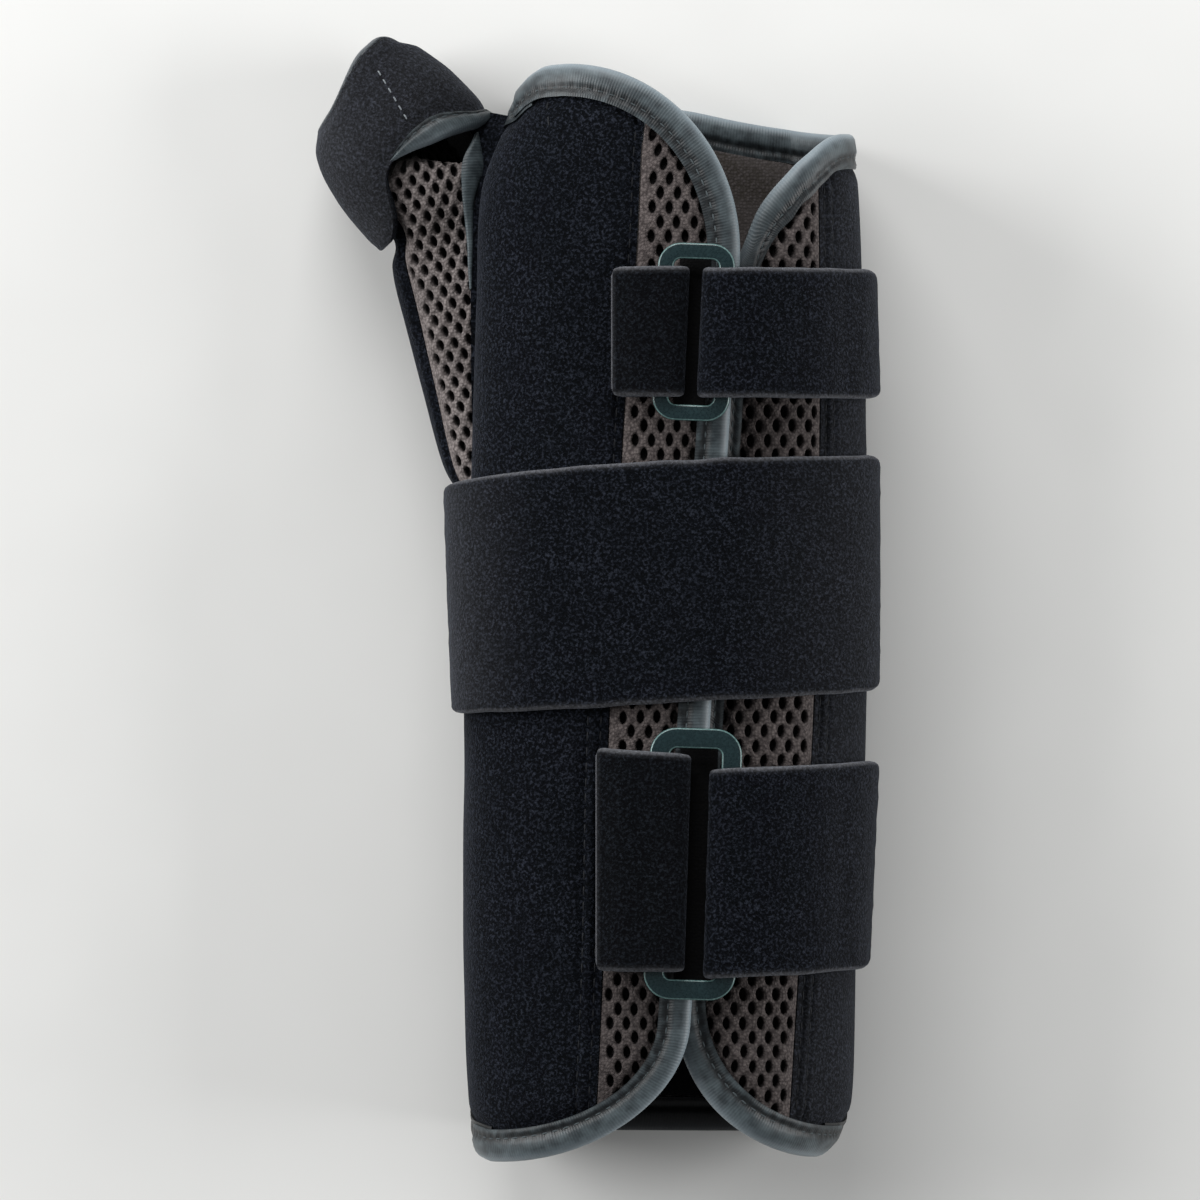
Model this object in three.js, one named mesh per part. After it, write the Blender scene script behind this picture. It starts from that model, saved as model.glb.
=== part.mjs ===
// Right-hand wrist and thumb brace, fastened and lying on its back panel. Millimetres, +Z up.
// X runs across the wrist with the thumb at -X, Y runs from the forearm to the fingers, Z = 0 is the table.
// The fabric pieces are cut on a flat pattern (s round the sleeve, y along it, h above its surface)
// and then wrapped on the sleeve form, as the real ones are sewn.
import * as THREE from "three";

// Fabric and trim sizes
const WALL = 2.6; // padded loop fabric and spacer mesh
const BACK_WALL = 3;
const LINING = 1.2;
const GAP = 0.3; // sewn and resting neighbours keep this clear
const BINDING_WIDTH = 5.6;
const BACK_TAPE_WIDTH = 5;
const BINDING_RAISE = 0.2; // the edge tape stands this far above each face
const STRAP = 2.2; // strap and tab thickness
const RING = 1.4; // ring thickness
const TAPE_SOFTNESS = 0.2; // share of a tape's or strap's width that is rounded at each edge
const STRAP_SOFTNESS = 0.04;
const RING_CLEAR = 0.6; // room between a ring bar and the strap folded round it

// The closure line leans to the right as it goes up
const CLOSURE_X = 10.7;
const CLOSURE_LEAN = 0.065;
const LEFT_LIFT = 1.3; // the left flap rises over the right one
const LIFT_REACH = 9;
const RIGHT_DIP = 2.2; // the right flap sinks under the left one
const DIP_FROM = 14;
const DIP_TO = 1.5;
const RIGHT_TUCK = 3.5; // how far the right flap reaches under the left one

// Section of the sleeve: a round top, a boxier lower half and a flat back where it rests
const WAIST = 0.52; // height of the widest level, as a share of the full height
const CROWN_POWER = 2.3;
const BACK_POWER = 3.2;
const BACK_SINK = 2.5; // how much of the lower half is pressed flat
const SECTION_STEPS = 360;

// Widest points and height of the sleeve along its length
const SECTIONS = [
  { y: -106, left: -34.2, right: 28.5, height: 53 },
  { y: -101, left: -35.3, right: 32.6, height: 53.2 },
  { y: -97, left: -35.9, right: 35.2, height: 53.4 },
  { y: -91, left: -36.4, right: 36.5, height: 53.5 },
  { y: -65, left: -37.3, right: 37.2, height: 53.5 },
  { y: -20, left: -37.1, right: 39.1, height: 52 },
  { y: 30, left: -36.1, right: 39.3, height: 50 },
  { y: 60, left: -35.2, right: 38.6, height: 48.5 },
  { y: 81, left: -34.2, right: 37.7, height: 47.5 },
  { y: 93.5, left: -29.6, right: 37.1, height: 46.5 },
  { y: 100.5, left: -27.2, right: 36.6, height: 46 },
  { y: 107, left: -25.8, right: 36.2, height: 45.5 },
];

// Rounded corners of the flaps: semi-axes across and along, and where the corner starts
const LEFT_TOP = { across: 36, along: 38.5, y: 66 };
const LEFT_BOTTOM = { across: 37, along: 26.6, y: -77 };
const RIGHT_BOTTOM = { across: 33.5, along: 32, y: -71 };

// Rims beyond the corners, by reach: the distance from the closure line round the sleeve
const LEFT_TOP_RIM = [
  { reach: 36, y: 104.5 },
  { reach: 40, y: 104.1 },
  { reach: 42.5, y: 102.8 },
  { reach: 45, y: 100.4 },
  { reach: 50, y: 98.8 },
  { reach: 62, y: 97.9 },
  { reach: 75, y: 97.4 },
  { reach: 92, y: 96.3 },
  { reach: 112, y: 94 },
];
const LEFT_BOTTOM_RIM = [
  { reach: 37, y: -103.6 },
  { reach: 40, y: -102.6 },
  { reach: 45, y: -100.4 },
  { reach: 56, y: -99 },
  { reach: 90, y: -98.8 },
];
const RIGHT_TOP_RIM = [
  { reach: -5, y: 57.5 },
  { reach: 0.6, y: 68.6 },
  { reach: 3.9, y: 77 },
  { reach: 9.8, y: 84.8 },
  { reach: 14, y: 88.2 },
  { reach: 18.5, y: 90.2 },
  { reach: 40, y: 91 },
  { reach: 53, y: 92.3 },
  { reach: 74, y: 96 },
  { reach: 94, y: 97.2 },
];
const RIGHT_BOTTOM_RIM = [
  { reach: 30, y: -103 },
  { reach: 36, y: -101.4 },
  { reach: 46, y: -99.4 },
  { reach: 90, y: -98.8 },
];

// Seams between loop fabric and mesh, as seen from the front
const LEFT_SEAM = [
  { y: -104, x: -13.6 },
  { y: -66, x: -12 },
  { y: -24, x: -11.4 },
  { y: 37, x: -10.5 },
  { y: 61, x: -8.9 },
  { y: 90, x: -4.2 },
  { y: 104, x: -1.5 },
];
const RIGHT_SEAM = [
  { y: -104, x: 24.4 },
  { y: -83, x: 25.7 },
  { y: -20, x: 29.5 },
  { y: 35, x: 30.8 },
  { y: 92, x: 30.6 },
];

// Edges of the back panel
const BACK_LEFT = [
  { y: -104, x: -24.5 },
  { y: 72, x: -24.5 },
  { y: 100, x: -16 },
];
const BACK_RIGHT_X = 24.5;

// Thumb opening in the left side of the sleeve
const THUMB_EDGE_ABOVE = 1.5; // edge of the left panel above the widest level
const THUMB_FOOT = { from: 20.2, to: 22 }; // the opening widens over this length

// Thumb sleeve: right and left ends of each section seen from the front, top and bottom heights,
// how round it has become (0 open to the hand, 0.5 a full ring) and how far its floor runs under the hand
const THUMB = [
  { rightX: -34.2, rightY: 22.4, leftX: -37.6, leftY: 22.4, top: 26.6, bottom: 0.5, round: 0, under: 8.8 },
  { rightX: -34, rightY: 29, leftX: -41.2, leftY: 28.4, top: 26.4, bottom: 0.5, round: 0, under: 8.8 },
  { rightX: -33.7, rightY: 45, leftX: -45.1, leftY: 42.4, top: 25.8, bottom: 0.5, round: 0, under: 8.6 },
  { rightX: -33, rightY: 60, leftX: -48.8, leftY: 56.4, top: 25.4, bottom: 0.7, round: 0.06, under: 7.5 },
  { rightX: -32.5, rightY: 75, leftX: -51, leftY: 66, top: 25.4, bottom: 1.6, round: 0.28, under: 4 },
  { rightX: -32.9, rightY: 90.4, leftX: -51, leftY: 72.2, top: 27.5, bottom: 3.9, round: 0.5, under: 0 },
  { rightX: -41.8, rightY: 101.2, leftX: -60.2, leftY: 82.8, top: 25.9, bottom: 3.9, round: 0.5, under: 0 },
  { rightX: -51, rightY: 108.3, leftX: -63.1, leftY: 97, top: 22.3, bottom: 4.1, round: 0.5, under: 0 },
];
const BAND_AT = 5; // row of the table where the thumb band starts
const TIP_AT = 7;
const SLEEVE_END = 5.9; // the sleeve ends inside the band
const SIDE_SEAM_DEG = 150; // where the mesh front meets the loop side
const BAND_WALL = 2.8;
const BAND_FRONT_RISE = 0.72; // the front of the band is cut back from the base by this much of a row
const BAND_RISE_DEG = 95; // the cut climbs from the hand to here,
const BAND_FALL_DEG = 125; // starts down here
const BAND_LEVEL_DEG = 174; // and is level again near the outer side
const BAND_BASE_TAPE = 0.3;
const BAND_TIP_TAPE = 0.24;
const BAND_SEGMENTS = 28;

// Rings seen from the front, and the tab and strap folded round their bars
const TOP_RING = { x: 6, y: 53.4, width: 14.6, length: 33.6, bar: 3, corner: 4.4, leanDeg: -2.4 };
const BOTTOM_RING = { x: 5.7, y: -46.9, width: 17.4, length: 51.2, bar: 3.8, corner: 5, leanDeg: -1.8 };
const TOP_TAB = { fromX: -8.6, foldX: 5, low: 41.2, high: 65.8 };
const TOP_STRAP = { foldX: 6.2, sewnX: 29.5, low: 41, high: 65.6, pastWaist: 17 };
const BOTTOM_TAB = { fromX: -11.4, foldX: 5, low: -67.4, high: -27.3 };
const BOTTOM_STRAP = { foldX: 7.2, sewnX: 28.5, low: -68, high: -27.8, pastWaist: 18 };

// Middle strap: its lower and upper edges as seen from the front
const MIDDLE_EDGES = [
  { x: -37, low: -18.8, high: 24.4 },
  { x: -19, low: -17.9, high: 27.8 },
  { x: 7.6, low: -16.2, high: 29.5 },
  { x: 39, low: -14.3, high: 30.4 },
];
const MIDDLE_LEFT_END = 11; // how far the ends run down past the widest level
const MIDDLE_RIGHT_END = 17;
const MIDDLE_LEFT_RISE = 2.4; // its upper left corner lies over the foot of the thumb sleeve

const COLOURS = {
  loop: { color: 0x181b21, roughness: 0.95, metalness: 0 },
  mesh: { color: 0x4a4645, roughness: 0.85, metalness: 0 },
  tape: { color: 0x5f6a6d, roughness: 0.5, metalness: 0 },
  lining: { color: 0x393739, roughness: 0.9, metalness: 0 },
  plastic: { color: 0x1f3033, roughness: 0.35, metalness: 0 },
};

const { lerp, smoothstep, degToRad } = THREE.MathUtils;

// Smooth curve through the rows of a table, as a function of one of its columns
function through(rows, from, to) {
  const slope = rows.map((row, i) => {
    const before = rows[Math.max(i - 1, 0)];
    const after = rows[Math.min(i + 1, rows.length - 1)];
    return (after[to] - before[to]) / (after[from] - before[from]);
  });
  return (value) => {
    const last = rows.length - 2;
    const next = rows.findIndex((row) => row[from] > value);
    const i = THREE.MathUtils.clamp(next < 0 ? last : next - 1, 0, last);
    const a = rows[i];
    const b = rows[i + 1];
    const span = b[from] - a[from];
    const t = THREE.MathUtils.clamp((value - a[from]) / span, 0, 1);
    const bend = t * (1 - t) * span;
    return (
      lerp(a[to], b[to], t * t * (3 - 2 * t)) +
      bend * ((1 - t) * slope[i] - t * slope[i + 1])
    );
  };
}

const leftX = through(SECTIONS, "y", "left");
const rightX = through(SECTIONS, "y", "right");
const fullHeight = through(SECTIONS, "y", "height");
const leftSeamX = through(LEFT_SEAM, "y", "x");
const rightSeamX = through(RIGHT_SEAM, "y", "x");
const backLeftX = through(BACK_LEFT, "y", "x");
const closureX = (y) => CLOSURE_X + CLOSURE_LEAN * y;

// One section of the sleeve as a run of points from the back centre over the left side, the crown and
// the right side to the back centre again, with the length s measured from the crown
const sections = new Map();
function sectionAt(y) {
  const key = Math.round(y * 20);
  if (!sections.has(key)) {
    sections.set(key, measureSection(key / 20));
  }
  return sections.get(key);
}

function measureSection(y) {
  const centre = (leftX(y) + rightX(y)) / 2;
  const half = (rightX(y) - leftX(y)) / 2;
  const height = fullHeight(y);
  const waist = WAIST * height;
  const bent = (value, power) => Math.sign(value) * Math.abs(value) ** (2 / power);
  const points = [];
  for (let i = 0; i <= SECTION_STEPS; i++) {
    const angle = Math.PI * ((2 * i) / SECTION_STEPS - 1);
    const up = Math.cos(angle) > 0;
    const power = up ? CROWN_POWER : BACK_POWER;
    const rise = up ? height - waist : waist + BACK_SINK;
    const x = centre + half * bent(Math.sin(angle), power);
    const z = waist + rise * bent(Math.cos(angle), power);
    points.push(new THREE.Vector2(x, Math.max(z, 0)));
  }
  const lengths = [0];
  for (let i = 1; i <= SECTION_STEPS; i++) {
    lengths.push(lengths[i - 1] + points[i].distanceTo(points[i - 1]));
  }
  const crown = lengths[SECTION_STEPS / 2];
  return { points, lengths: lengths.map((length) => length - crown) };
}

// Point of the section at length s
function sectionPoint(section, s) {
  const { points, lengths } = section;
  let low = 0;
  let high = lengths.length - 1;
  while (high - low > 1) {
    const middle = (low + high) >> 1;
    if (lengths[middle] <= s) {
      low = middle;
    } else {
      high = middle;
    }
  }
  const t = (s - lengths[low]) / (lengths[high] - lengths[low] || 1);
  return points[low].clone().lerp(points[high], t);
}

// Length s at which a run of the section crosses x, between two quarter points of the section
function lengthAt(y, x, fromQuarter, toQuarter) {
  const { points, lengths } = sectionAt(y);
  let low = (fromQuarter * SECTION_STEPS) / 4;
  let high = (toQuarter * SECTION_STEPS) / 4;
  while (Math.abs(high - low) > 1) {
    const middle = (low + high) >> 1;
    if (points[middle].x <= x) {
      low = middle;
    } else {
      high = middle;
    }
  }
  const t = THREE.MathUtils.clamp((x - points[low].x) / (points[high].x - points[low].x || 1), 0, 1);
  return lerp(lengths[low], lengths[high], t);
}

const frontS = (x, y) => lengthAt(y, x, 1, 3);
const backLeftS = (x, y) => lengthAt(y, x, 1, 0);
const backRightS = (x, y) => lengthAt(y, x, 4, 3);
const waistLeftS = (y) => sectionAt(y).lengths[SECTION_STEPS / 4];
const waistRightS = (y) => sectionAt(y).lengths[(3 * SECTION_STEPS) / 4];
const closureS = (y) => frontS(closureX(y), y);

// Wraps a point of the flat pattern on the sleeve
const TANGENT_SPAN = 1.5;
function wrap(s, y, h) {
  const section = sectionAt(y);
  const point = sectionPoint(section, s);
  const before = sectionPoint(section, s - TANGENT_SPAN);
  const after = sectionPoint(section, s + TANGENT_SPAN);
  const along = after.sub(before).normalize();
  return new THREE.Vector3(point.x - along.y * h, y, point.y + along.x * h);
}

// Reach of a pattern point: distance from the closure line, as seen from the front and on round the side
function leftReach(s, y) {
  const side = waistLeftS(y);
  const x = sectionPoint(sectionAt(y), Math.max(s, side)).x;
  return closureX(y) - x + Math.max(side - s, 0);
}
function rightReach(s, y) {
  const side = waistRightS(y);
  const x = sectionPoint(sectionAt(y), Math.min(s, side)).x;
  return x - closureX(y) + Math.max(s - side, 0);
}

// Pattern length at a given reach
function leftS(reach, y) {
  const toSide = closureX(y) - leftX(y);
  return reach < toSide ? frontS(closureX(y) - reach, y) : waistLeftS(y) - (reach - toSide);
}
function rightS(reach, y) {
  const toSide = rightX(y) - closureX(y);
  return reach < toSide ? frontS(closureX(y) + reach, y) : waistRightS(y) + (reach - toSide);
}

// How far the flaps lie above or below the sleeve form near the closure
const leftRise = (reach) => LEFT_LIFT * Math.exp(-((Math.max(reach, 0) / LIFT_REACH) ** 2));
const rightRise = (reach) => -RIGHT_DIP * (1 - smoothstep(reach, DIP_TO, DIP_FROM));

// Height that clears both flaps and their edge tape, for what lies on top of them
const CLEAR = GAP + 0.05;
const BUMP = LEFT_LIFT + BINDING_RAISE + 0.05;
const BUMP_SHIFT = 1.5; // its top lies this far to the left of the closure line
function over(s, y) {
  const distance = s - closureS(y) + BUMP_SHIFT;
  return CLEAR + BUMP * Math.exp(-((distance / LIFT_REACH) ** 2));
}

// Height of a rim curve at a reach: a quarter ellipse at the corner, then the rows of its table
function rimCurve(corner, rows, start, side) {
  const beyond = through(rows, "reach", "y");
  const end = start + corner.across;
  return (reach, inset) => {
    if (reach >= end) {
      return beyond(reach) - side * inset;
    }
    const share = (end - reach) / (corner.across - inset);
    return corner.y + side * (corner.along - inset) * Math.sqrt(Math.max(1 - share * share, 0));
  };
}
const leftTop = rimCurve(LEFT_TOP, LEFT_TOP_RIM, 0, 1);
const leftBottom = rimCurve(LEFT_BOTTOM, LEFT_BOTTOM_RIM, 0, -1);
const rightBottom = rimCurve(RIGHT_BOTTOM, RIGHT_BOTTOM_RIM, -RIGHT_TUCK, -1);
const rightTopLine = through(RIGHT_TOP_RIM, "reach", "y");
const SLOPE_STEP = 0.5;
function rightTop(reach, inset) {
  const slope = (rightTopLine(reach + SLOPE_STEP) - rightTopLine(reach - SLOPE_STEP)) / (2 * SLOPE_STEP);
  return rightTopLine(reach) - inset * Math.hypot(1, slope);
}

// Moves each vertex of a geometry to its place and leaves it closed and facing out
function moved(geometry, place) {
  const made = geometry.index ? geometry.toNonIndexed() : geometry;
  made.deleteAttribute("normal");
  made.deleteAttribute("uv");
  const position = made.getAttribute("position");
  const vertex = new THREE.Vector3();
  for (let i = 0; i < position.count; i++) {
    vertex.fromBufferAttribute(position, i);
    const at = place(vertex.x, vertex.y, vertex.z);
    position.setXYZ(i, at.x, at.y, at.z);
  }
  if (signedVolume(position) < 0) {
    turnRound(position);
  }
  made.computeVertexNormals();
  return made;
}

function signedVolume(position) {
  const corners = [new THREE.Vector3(), new THREE.Vector3(), new THREE.Vector3()];
  let volume = 0;
  for (let i = 0; i < position.count; i += 3) {
    corners.forEach((corner, k) => corner.fromBufferAttribute(position, i + k));
    volume += corners[0].dot(corners[1].cross(corners[2])) / 6;
  }
  return volume;
}

function turnRound(position) {
  const a = new THREE.Vector3();
  const b = new THREE.Vector3();
  for (let i = 0; i < position.count; i += 3) {
    a.fromBufferAttribute(position, i + 1);
    b.fromBufferAttribute(position, i + 2);
    position.setXYZ(i + 1, b.x, b.y, b.z);
    position.setXYZ(i + 2, a.x, a.y, a.z);
  }
}

// A padded panel: place(column, row, wall) with each from 0 to 1
function panel(columns, rows, place) {
  const box = new THREE.BoxGeometry(1, 1, 1, columns, rows, 1);
  return moved(box, (x, y, z) => place(x + 0.5, y + 0.5, z + 0.5));
}

// A strip of tape or strap: place(across, thick, along), thick from -0.5 to 0.5 and the others from 0 to 1
function strip(softness, steps, place) {
  const section = new THREE.Shape([
    new THREE.Vector2(0, 0),
    new THREE.Vector2(softness, 0.5),
    new THREE.Vector2(1 - softness, 0.5),
    new THREE.Vector2(1, 0),
    new THREE.Vector2(1 - softness, -0.5),
    new THREE.Vector2(softness, -0.5),
  ]);
  const run = new THREE.ExtrudeGeometry(section, { depth: 1, steps, bevelEnabled: false });
  return moved(run, place);
}

// A ring of wall round the thumb: place(along, wall, angle in degrees)
function hoop(rows, segments, place) {
  const profile = [new THREE.Vector2(1, 0)];
  for (let i = 0; i <= rows; i++) {
    profile.push(new THREE.Vector2(2, i / rows));
  }
  for (let i = rows; i > 0; i--) {
    profile.push(new THREE.Vector2(1, i / rows));
  }
  profile.push(new THREE.Vector2(1, 0));
  const lathe = new THREE.LatheGeometry(profile, segments);
  return moved(lathe, (x, y, z) =>
    place(y, Math.hypot(x, z) - 1, THREE.MathUtils.radToDeg(Math.atan2(x, z))),
  );
}

// Ends of a pattern column: where it meets the inner line of the edge tape
const SEARCH_STEPS = 30;
function rimCrossing(sAt, reachOf, rim, start, end) {
  let inside = start;
  let outside = end;
  const side = Math.sign(end - start);
  for (let i = 0; i < SEARCH_STEPS; i++) {
    const y = (inside + outside) / 2;
    const within = side * (rim(reachOf(sAt(y), y), BINDING_WIDTH + GAP) - y) > 0;
    if (within) {
      inside = y;
    } else {
      outside = y;
    }
  }
  return inside;
}

// A flap panel between two seams, cut to the rims, with rows closer at the ends
const FLAP_MIDDLE_Y = -10;
const FLAP_END_Y = 106;
const closerAtEnds = (row, low, high) => lerp(low, high, 0.5 - 0.5 * Math.cos(Math.PI * row));
function flapPanel(columns, rows, flap, sFrom, sTo, rowY = closerAtEnds) {
  const spans = new Map();
  const spanOf = (column) => {
    if (!spans.has(column)) {
      const sAt = (y) => lerp(sFrom(y), sTo(y), column);
      const low = rimCrossing(sAt, flap.reach, flap.bottom, FLAP_MIDDLE_Y, -FLAP_END_Y);
      const high = rimCrossing(sAt, flap.reach, flap.top, FLAP_MIDDLE_Y, FLAP_END_Y);
      spans.set(column, { sAt, low, high });
    }
    return spans.get(column);
  };
  return panel(columns, rows, (column, row, wall) => {
    const { sAt, low, high } = spanOf(column);
    const y = rowY(row, low, high);
    const s = sAt(y);
    return wrap(s, y, flap.rise(flap.reach(s, y)) - WALL * (1 - wall));
  });
}

const LEFT_FLAP = { reach: leftReach, rise: leftRise, top: leftTop, bottom: leftBottom };
const RIGHT_FLAP = { reach: rightReach, rise: rightRise, top: rightTop, bottom: rightBottom };
const SEAM = GAP / 2;

// Back edge of the left panel: the back seam at the forearm, the thumb opening towards the hand
function leftPanelEdge(y) {
  const opening = smoothstep(y, THUMB_FOOT.from, THUMB_FOOT.to);
  const seam = backLeftS(backLeftX(y), y) + SEAM;
  return lerp(seam, waistLeftS(y) + THUMB_EDGE_ABOVE, opening);
}

// Rows of the left panel: one at each end of the step where the thumb opening starts
const LEFT_ROWS = 26;
const FOOT_ROWS = { from: 13 / LEFT_ROWS, to: 14 / LEFT_ROWS };
function leftPanelY(row, low, high) {
  if (row < FOOT_ROWS.from) {
    return lerp(THUMB_FOOT.from, low, Math.sin((Math.PI / 2) * (1 - row / FOOT_ROWS.from)));
  }
  if (row > FOOT_ROWS.to) {
    return lerp(THUMB_FOOT.to, high, Math.sin(((Math.PI / 2) * (row - FOOT_ROWS.to)) / (1 - FOOT_ROWS.to)));
  }
  return lerp(THUMB_FOOT.from, THUMB_FOOT.to, (row - FOOT_ROWS.from) / (FOOT_ROWS.to - FOOT_ROWS.from));
}

const bindingInner = BINDING_WIDTH + GAP;
const leftPanel = flapPanel(
  11,
  LEFT_ROWS,
  LEFT_FLAP,
  leftPanelEdge,
  (y) => frontS(leftSeamX(y), y) - SEAM,
  leftPanelY,
);
const leftMesh = flapPanel(
  4,
  20,
  LEFT_FLAP,
  (y) => frontS(leftSeamX(y), y) + SEAM,
  (y) => leftS(bindingInner, y),
);
const rightMesh = flapPanel(
  4,
  20,
  RIGHT_FLAP,
  (y) => rightS(bindingInner - RIGHT_TUCK, y),
  (y) => frontS(rightSeamX(y), y) - SEAM,
);
const rightPanel = flapPanel(
  9,
  20,
  RIGHT_FLAP,
  (y) => frontS(rightSeamX(y), y) + SEAM,
  (y) => backRightS(BACK_RIGHT_X, y) - SEAM,
);

// Edge tape of a flap: along the bottom rim from the side, up the closure edge and along the top rim
function flapBinding(flap, sOf, edge, stages) {
  const lengths = stages.map((stage) => stage.steps);
  const total = lengths.reduce((sum, steps) => sum + steps, 0);
  const outline = (along, inset) => {
    let step = along * total;
    const index = lengths.findIndex((steps) => {
      const here = step <= steps + 1e-6;
      step -= here ? 0 : steps;
      return here;
    });
    return stages[index].at(step / lengths[index], inset);
  };
  return strip(TAPE_SOFTNESS, total, (across, thick, along) => {
    const { reach, y } = outline(along, across * BINDING_WIDTH);
    const middle = flap.rise(Math.max(reach, edge)) - WALL / 2;
    return wrap(sOf(reach, y), y, middle + thick * (WALL + 2 * BINDING_RAISE));
  });
}

// A quarter of an ellipse at a flap corner, from the rim to the closure edge
function cornerPoint(corner, start, side, turn, inset) {
  const angle = (turn * Math.PI) / 2;
  return {
    reach: start + corner.across - (corner.across - inset) * Math.sin(angle),
    y: corner.y + side * (corner.along - inset) * Math.cos(angle),
  };
}

const LEFT_TOP_SIDE = 44.6; // reach of the left side at the top and at the bottom
const LEFT_BOTTOM_SIDE = 39.6;
const leftBinding = flapBinding(LEFT_FLAP, leftS, 0, [
  {
    steps: 2,
    at: (t, inset) => {
      const reach = lerp(LEFT_BOTTOM_SIDE, LEFT_BOTTOM.across, t);
      return { reach, y: leftBottom(reach, inset) };
    },
  },
  { steps: 12, at: (t, inset) => cornerPoint(LEFT_BOTTOM, 0, -1, t, inset) },
  { steps: 12, at: (t, inset) => ({ reach: inset, y: lerp(LEFT_BOTTOM.y, LEFT_TOP.y, t) }) },
  { steps: 14, at: (t, inset) => cornerPoint(LEFT_TOP, 0, 1, 1 - t, inset) },
  {
    steps: 4,
    at: (t, inset) => {
      const reach = lerp(LEFT_TOP.across, LEFT_TOP_SIDE, t);
      return { reach, y: leftTop(reach, inset) };
    },
  },
]);

const RIGHT_TOP_SIDE = 20.5;
const RIGHT_BOTTOM_SIDE = 30;
const rightEdgeTop = (inset) => rightTop(inset - RIGHT_TUCK, inset);
const rightBinding = flapBinding(RIGHT_FLAP, rightS, -RIGHT_TUCK, [
  { steps: 12, at: (t, inset) => cornerPoint(RIGHT_BOTTOM, -RIGHT_TUCK, -1, t, inset) },
  {
    steps: 12,
    at: (t, inset) => ({
      reach: inset - RIGHT_TUCK,
      y: lerp(RIGHT_BOTTOM.y, rightEdgeTop(inset), t),
    }),
  },
  {
    steps: 9,
    at: (t, inset) => {
      const reach = lerp(inset - RIGHT_TUCK, RIGHT_TOP_SIDE, t);
      return { reach, y: rightTop(reach, inset) };
    },
  },
]);

// Back panel, its lining and the edge tape at both ends of the back
const halfLength = (y) => sectionAt(y).lengths[SECTION_STEPS];

// Share of the back from its left seam to its right one as a pattern length
function backS(share, y, margin) {
  const left = backLeftS(backLeftX(y), y) - margin;
  const right = backRightS(BACK_RIGHT_X, y) + margin;
  const toCentre = left + halfLength(y);
  const width = toCentre + halfLength(y) - right;
  const run = share * width;
  return run < toCentre ? left - run : halfLength(y) - (run - toCentre);
}
const BACK_BOTTOM_Y = -98.8;

// Rims of the back by the pattern length
const backTopY = (s, y) => (s < 0 ? leftTop(leftReach(s, y), 0) : rightTop(rightReach(s, y), 0));
const BACK_TOP_Y = 91;
function backPlate(columns, rows, inner, outer, margin) {
  return panel(columns, rows, (share, row, wall) => {
    const low = BACK_BOTTOM_Y + BACK_TAPE_WIDTH + GAP;
    const high = backTopY(backS(share, BACK_TOP_Y, margin), BACK_TOP_Y) - BACK_TAPE_WIDTH - GAP;
    const y = lerp(low, high, row);
    return wrap(backS(share, y, margin), y, -lerp(inner, outer, wall));
  });
}
const backPanel = backPlate(8, 12, BACK_WALL, 0, SEAM);
const LINING_MARGIN = 4;
const LINING_BASE = BACK_WALL + 2 * GAP;
const backLining = backPlate(8, 12, LINING_BASE + LINING, LINING_BASE, LINING_MARGIN);

// Edge tape round the back at one end, from the left flap's tape to the right flap's
function backBinding(steps, nominalY, leftStart, rightStart, leftRim, rightRim, side) {
  const half = halfLength(nominalY);
  const leftRun = leftS(leftStart, nominalY) + half - GAP;
  const rightRun = half - rightS(rightStart, nominalY) - GAP;
  return strip(TAPE_SOFTNESS, steps, (across, thick, along) => {
    const run = along * (leftRun + rightRun);
    const onLeft = run < leftRun;
    const reach = onLeft ? leftStart + GAP + run : rightStart + GAP + leftRun + rightRun - run;
    const rim = onLeft ? leftRim(reach, 0) : rightRim(reach, 0);
    const y = rim - side * across * BACK_TAPE_WIDTH;
    const s = onLeft ? leftS(reach, y) : rightS(reach, y);
    return wrap(s, y, thick * (WALL + 2 * BINDING_RAISE) - WALL / 2 - BINDING_RAISE);
  });
}
const topTape = backBinding(26, 96, LEFT_TOP_SIDE, RIGHT_TOP_SIDE, leftTop, rightTop, 1);
const bottomTape = backBinding(26, -100, LEFT_BOTTOM_SIDE, RIGHT_BOTTOM_SIDE, leftBottom, rightBottom, -1);

// Thumb sleeve: station along it, angle round it (0 next to the hand, 90 front, 180 outer side), h outwards
const thumbColumns = Object.fromEntries(
  Object.keys(THUMB[0]).map((key) => {
    const rows = THUMB.map((row, station) => ({ station, value: row[key] }));
    return [key, through(rows, "station", "value")];
  }),
);
function thumbAt(station, angleDeg, h) {
  const at = (key) => thumbColumns[key](station);
  const right = new THREE.Vector2(at("rightX"), at("rightY"));
  const left = new THREE.Vector2(at("leftX"), at("leftY"));
  const outward = left.clone().sub(right).normalize();
  const angle = degToRad(angleDeg);
  const floor = Math.sin(angle) < 0;
  right.addScaledVector(outward, floor ? -Math.max(at("under"), 0) : 0);
  const centre = right.clone().lerp(left, Math.min(at("round"), 0.5));
  const half = left.distanceTo(centre) + h;
  const middle = (at("top") + at("bottom")) / 2;
  const tall = (at("top") - at("bottom")) / 2 + h;
  const flat = centre.addScaledVector(outward, -half * Math.cos(angle));
  return new THREE.Vector3(flat.x, flat.y, middle + tall * Math.sin(angle));
}

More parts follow.
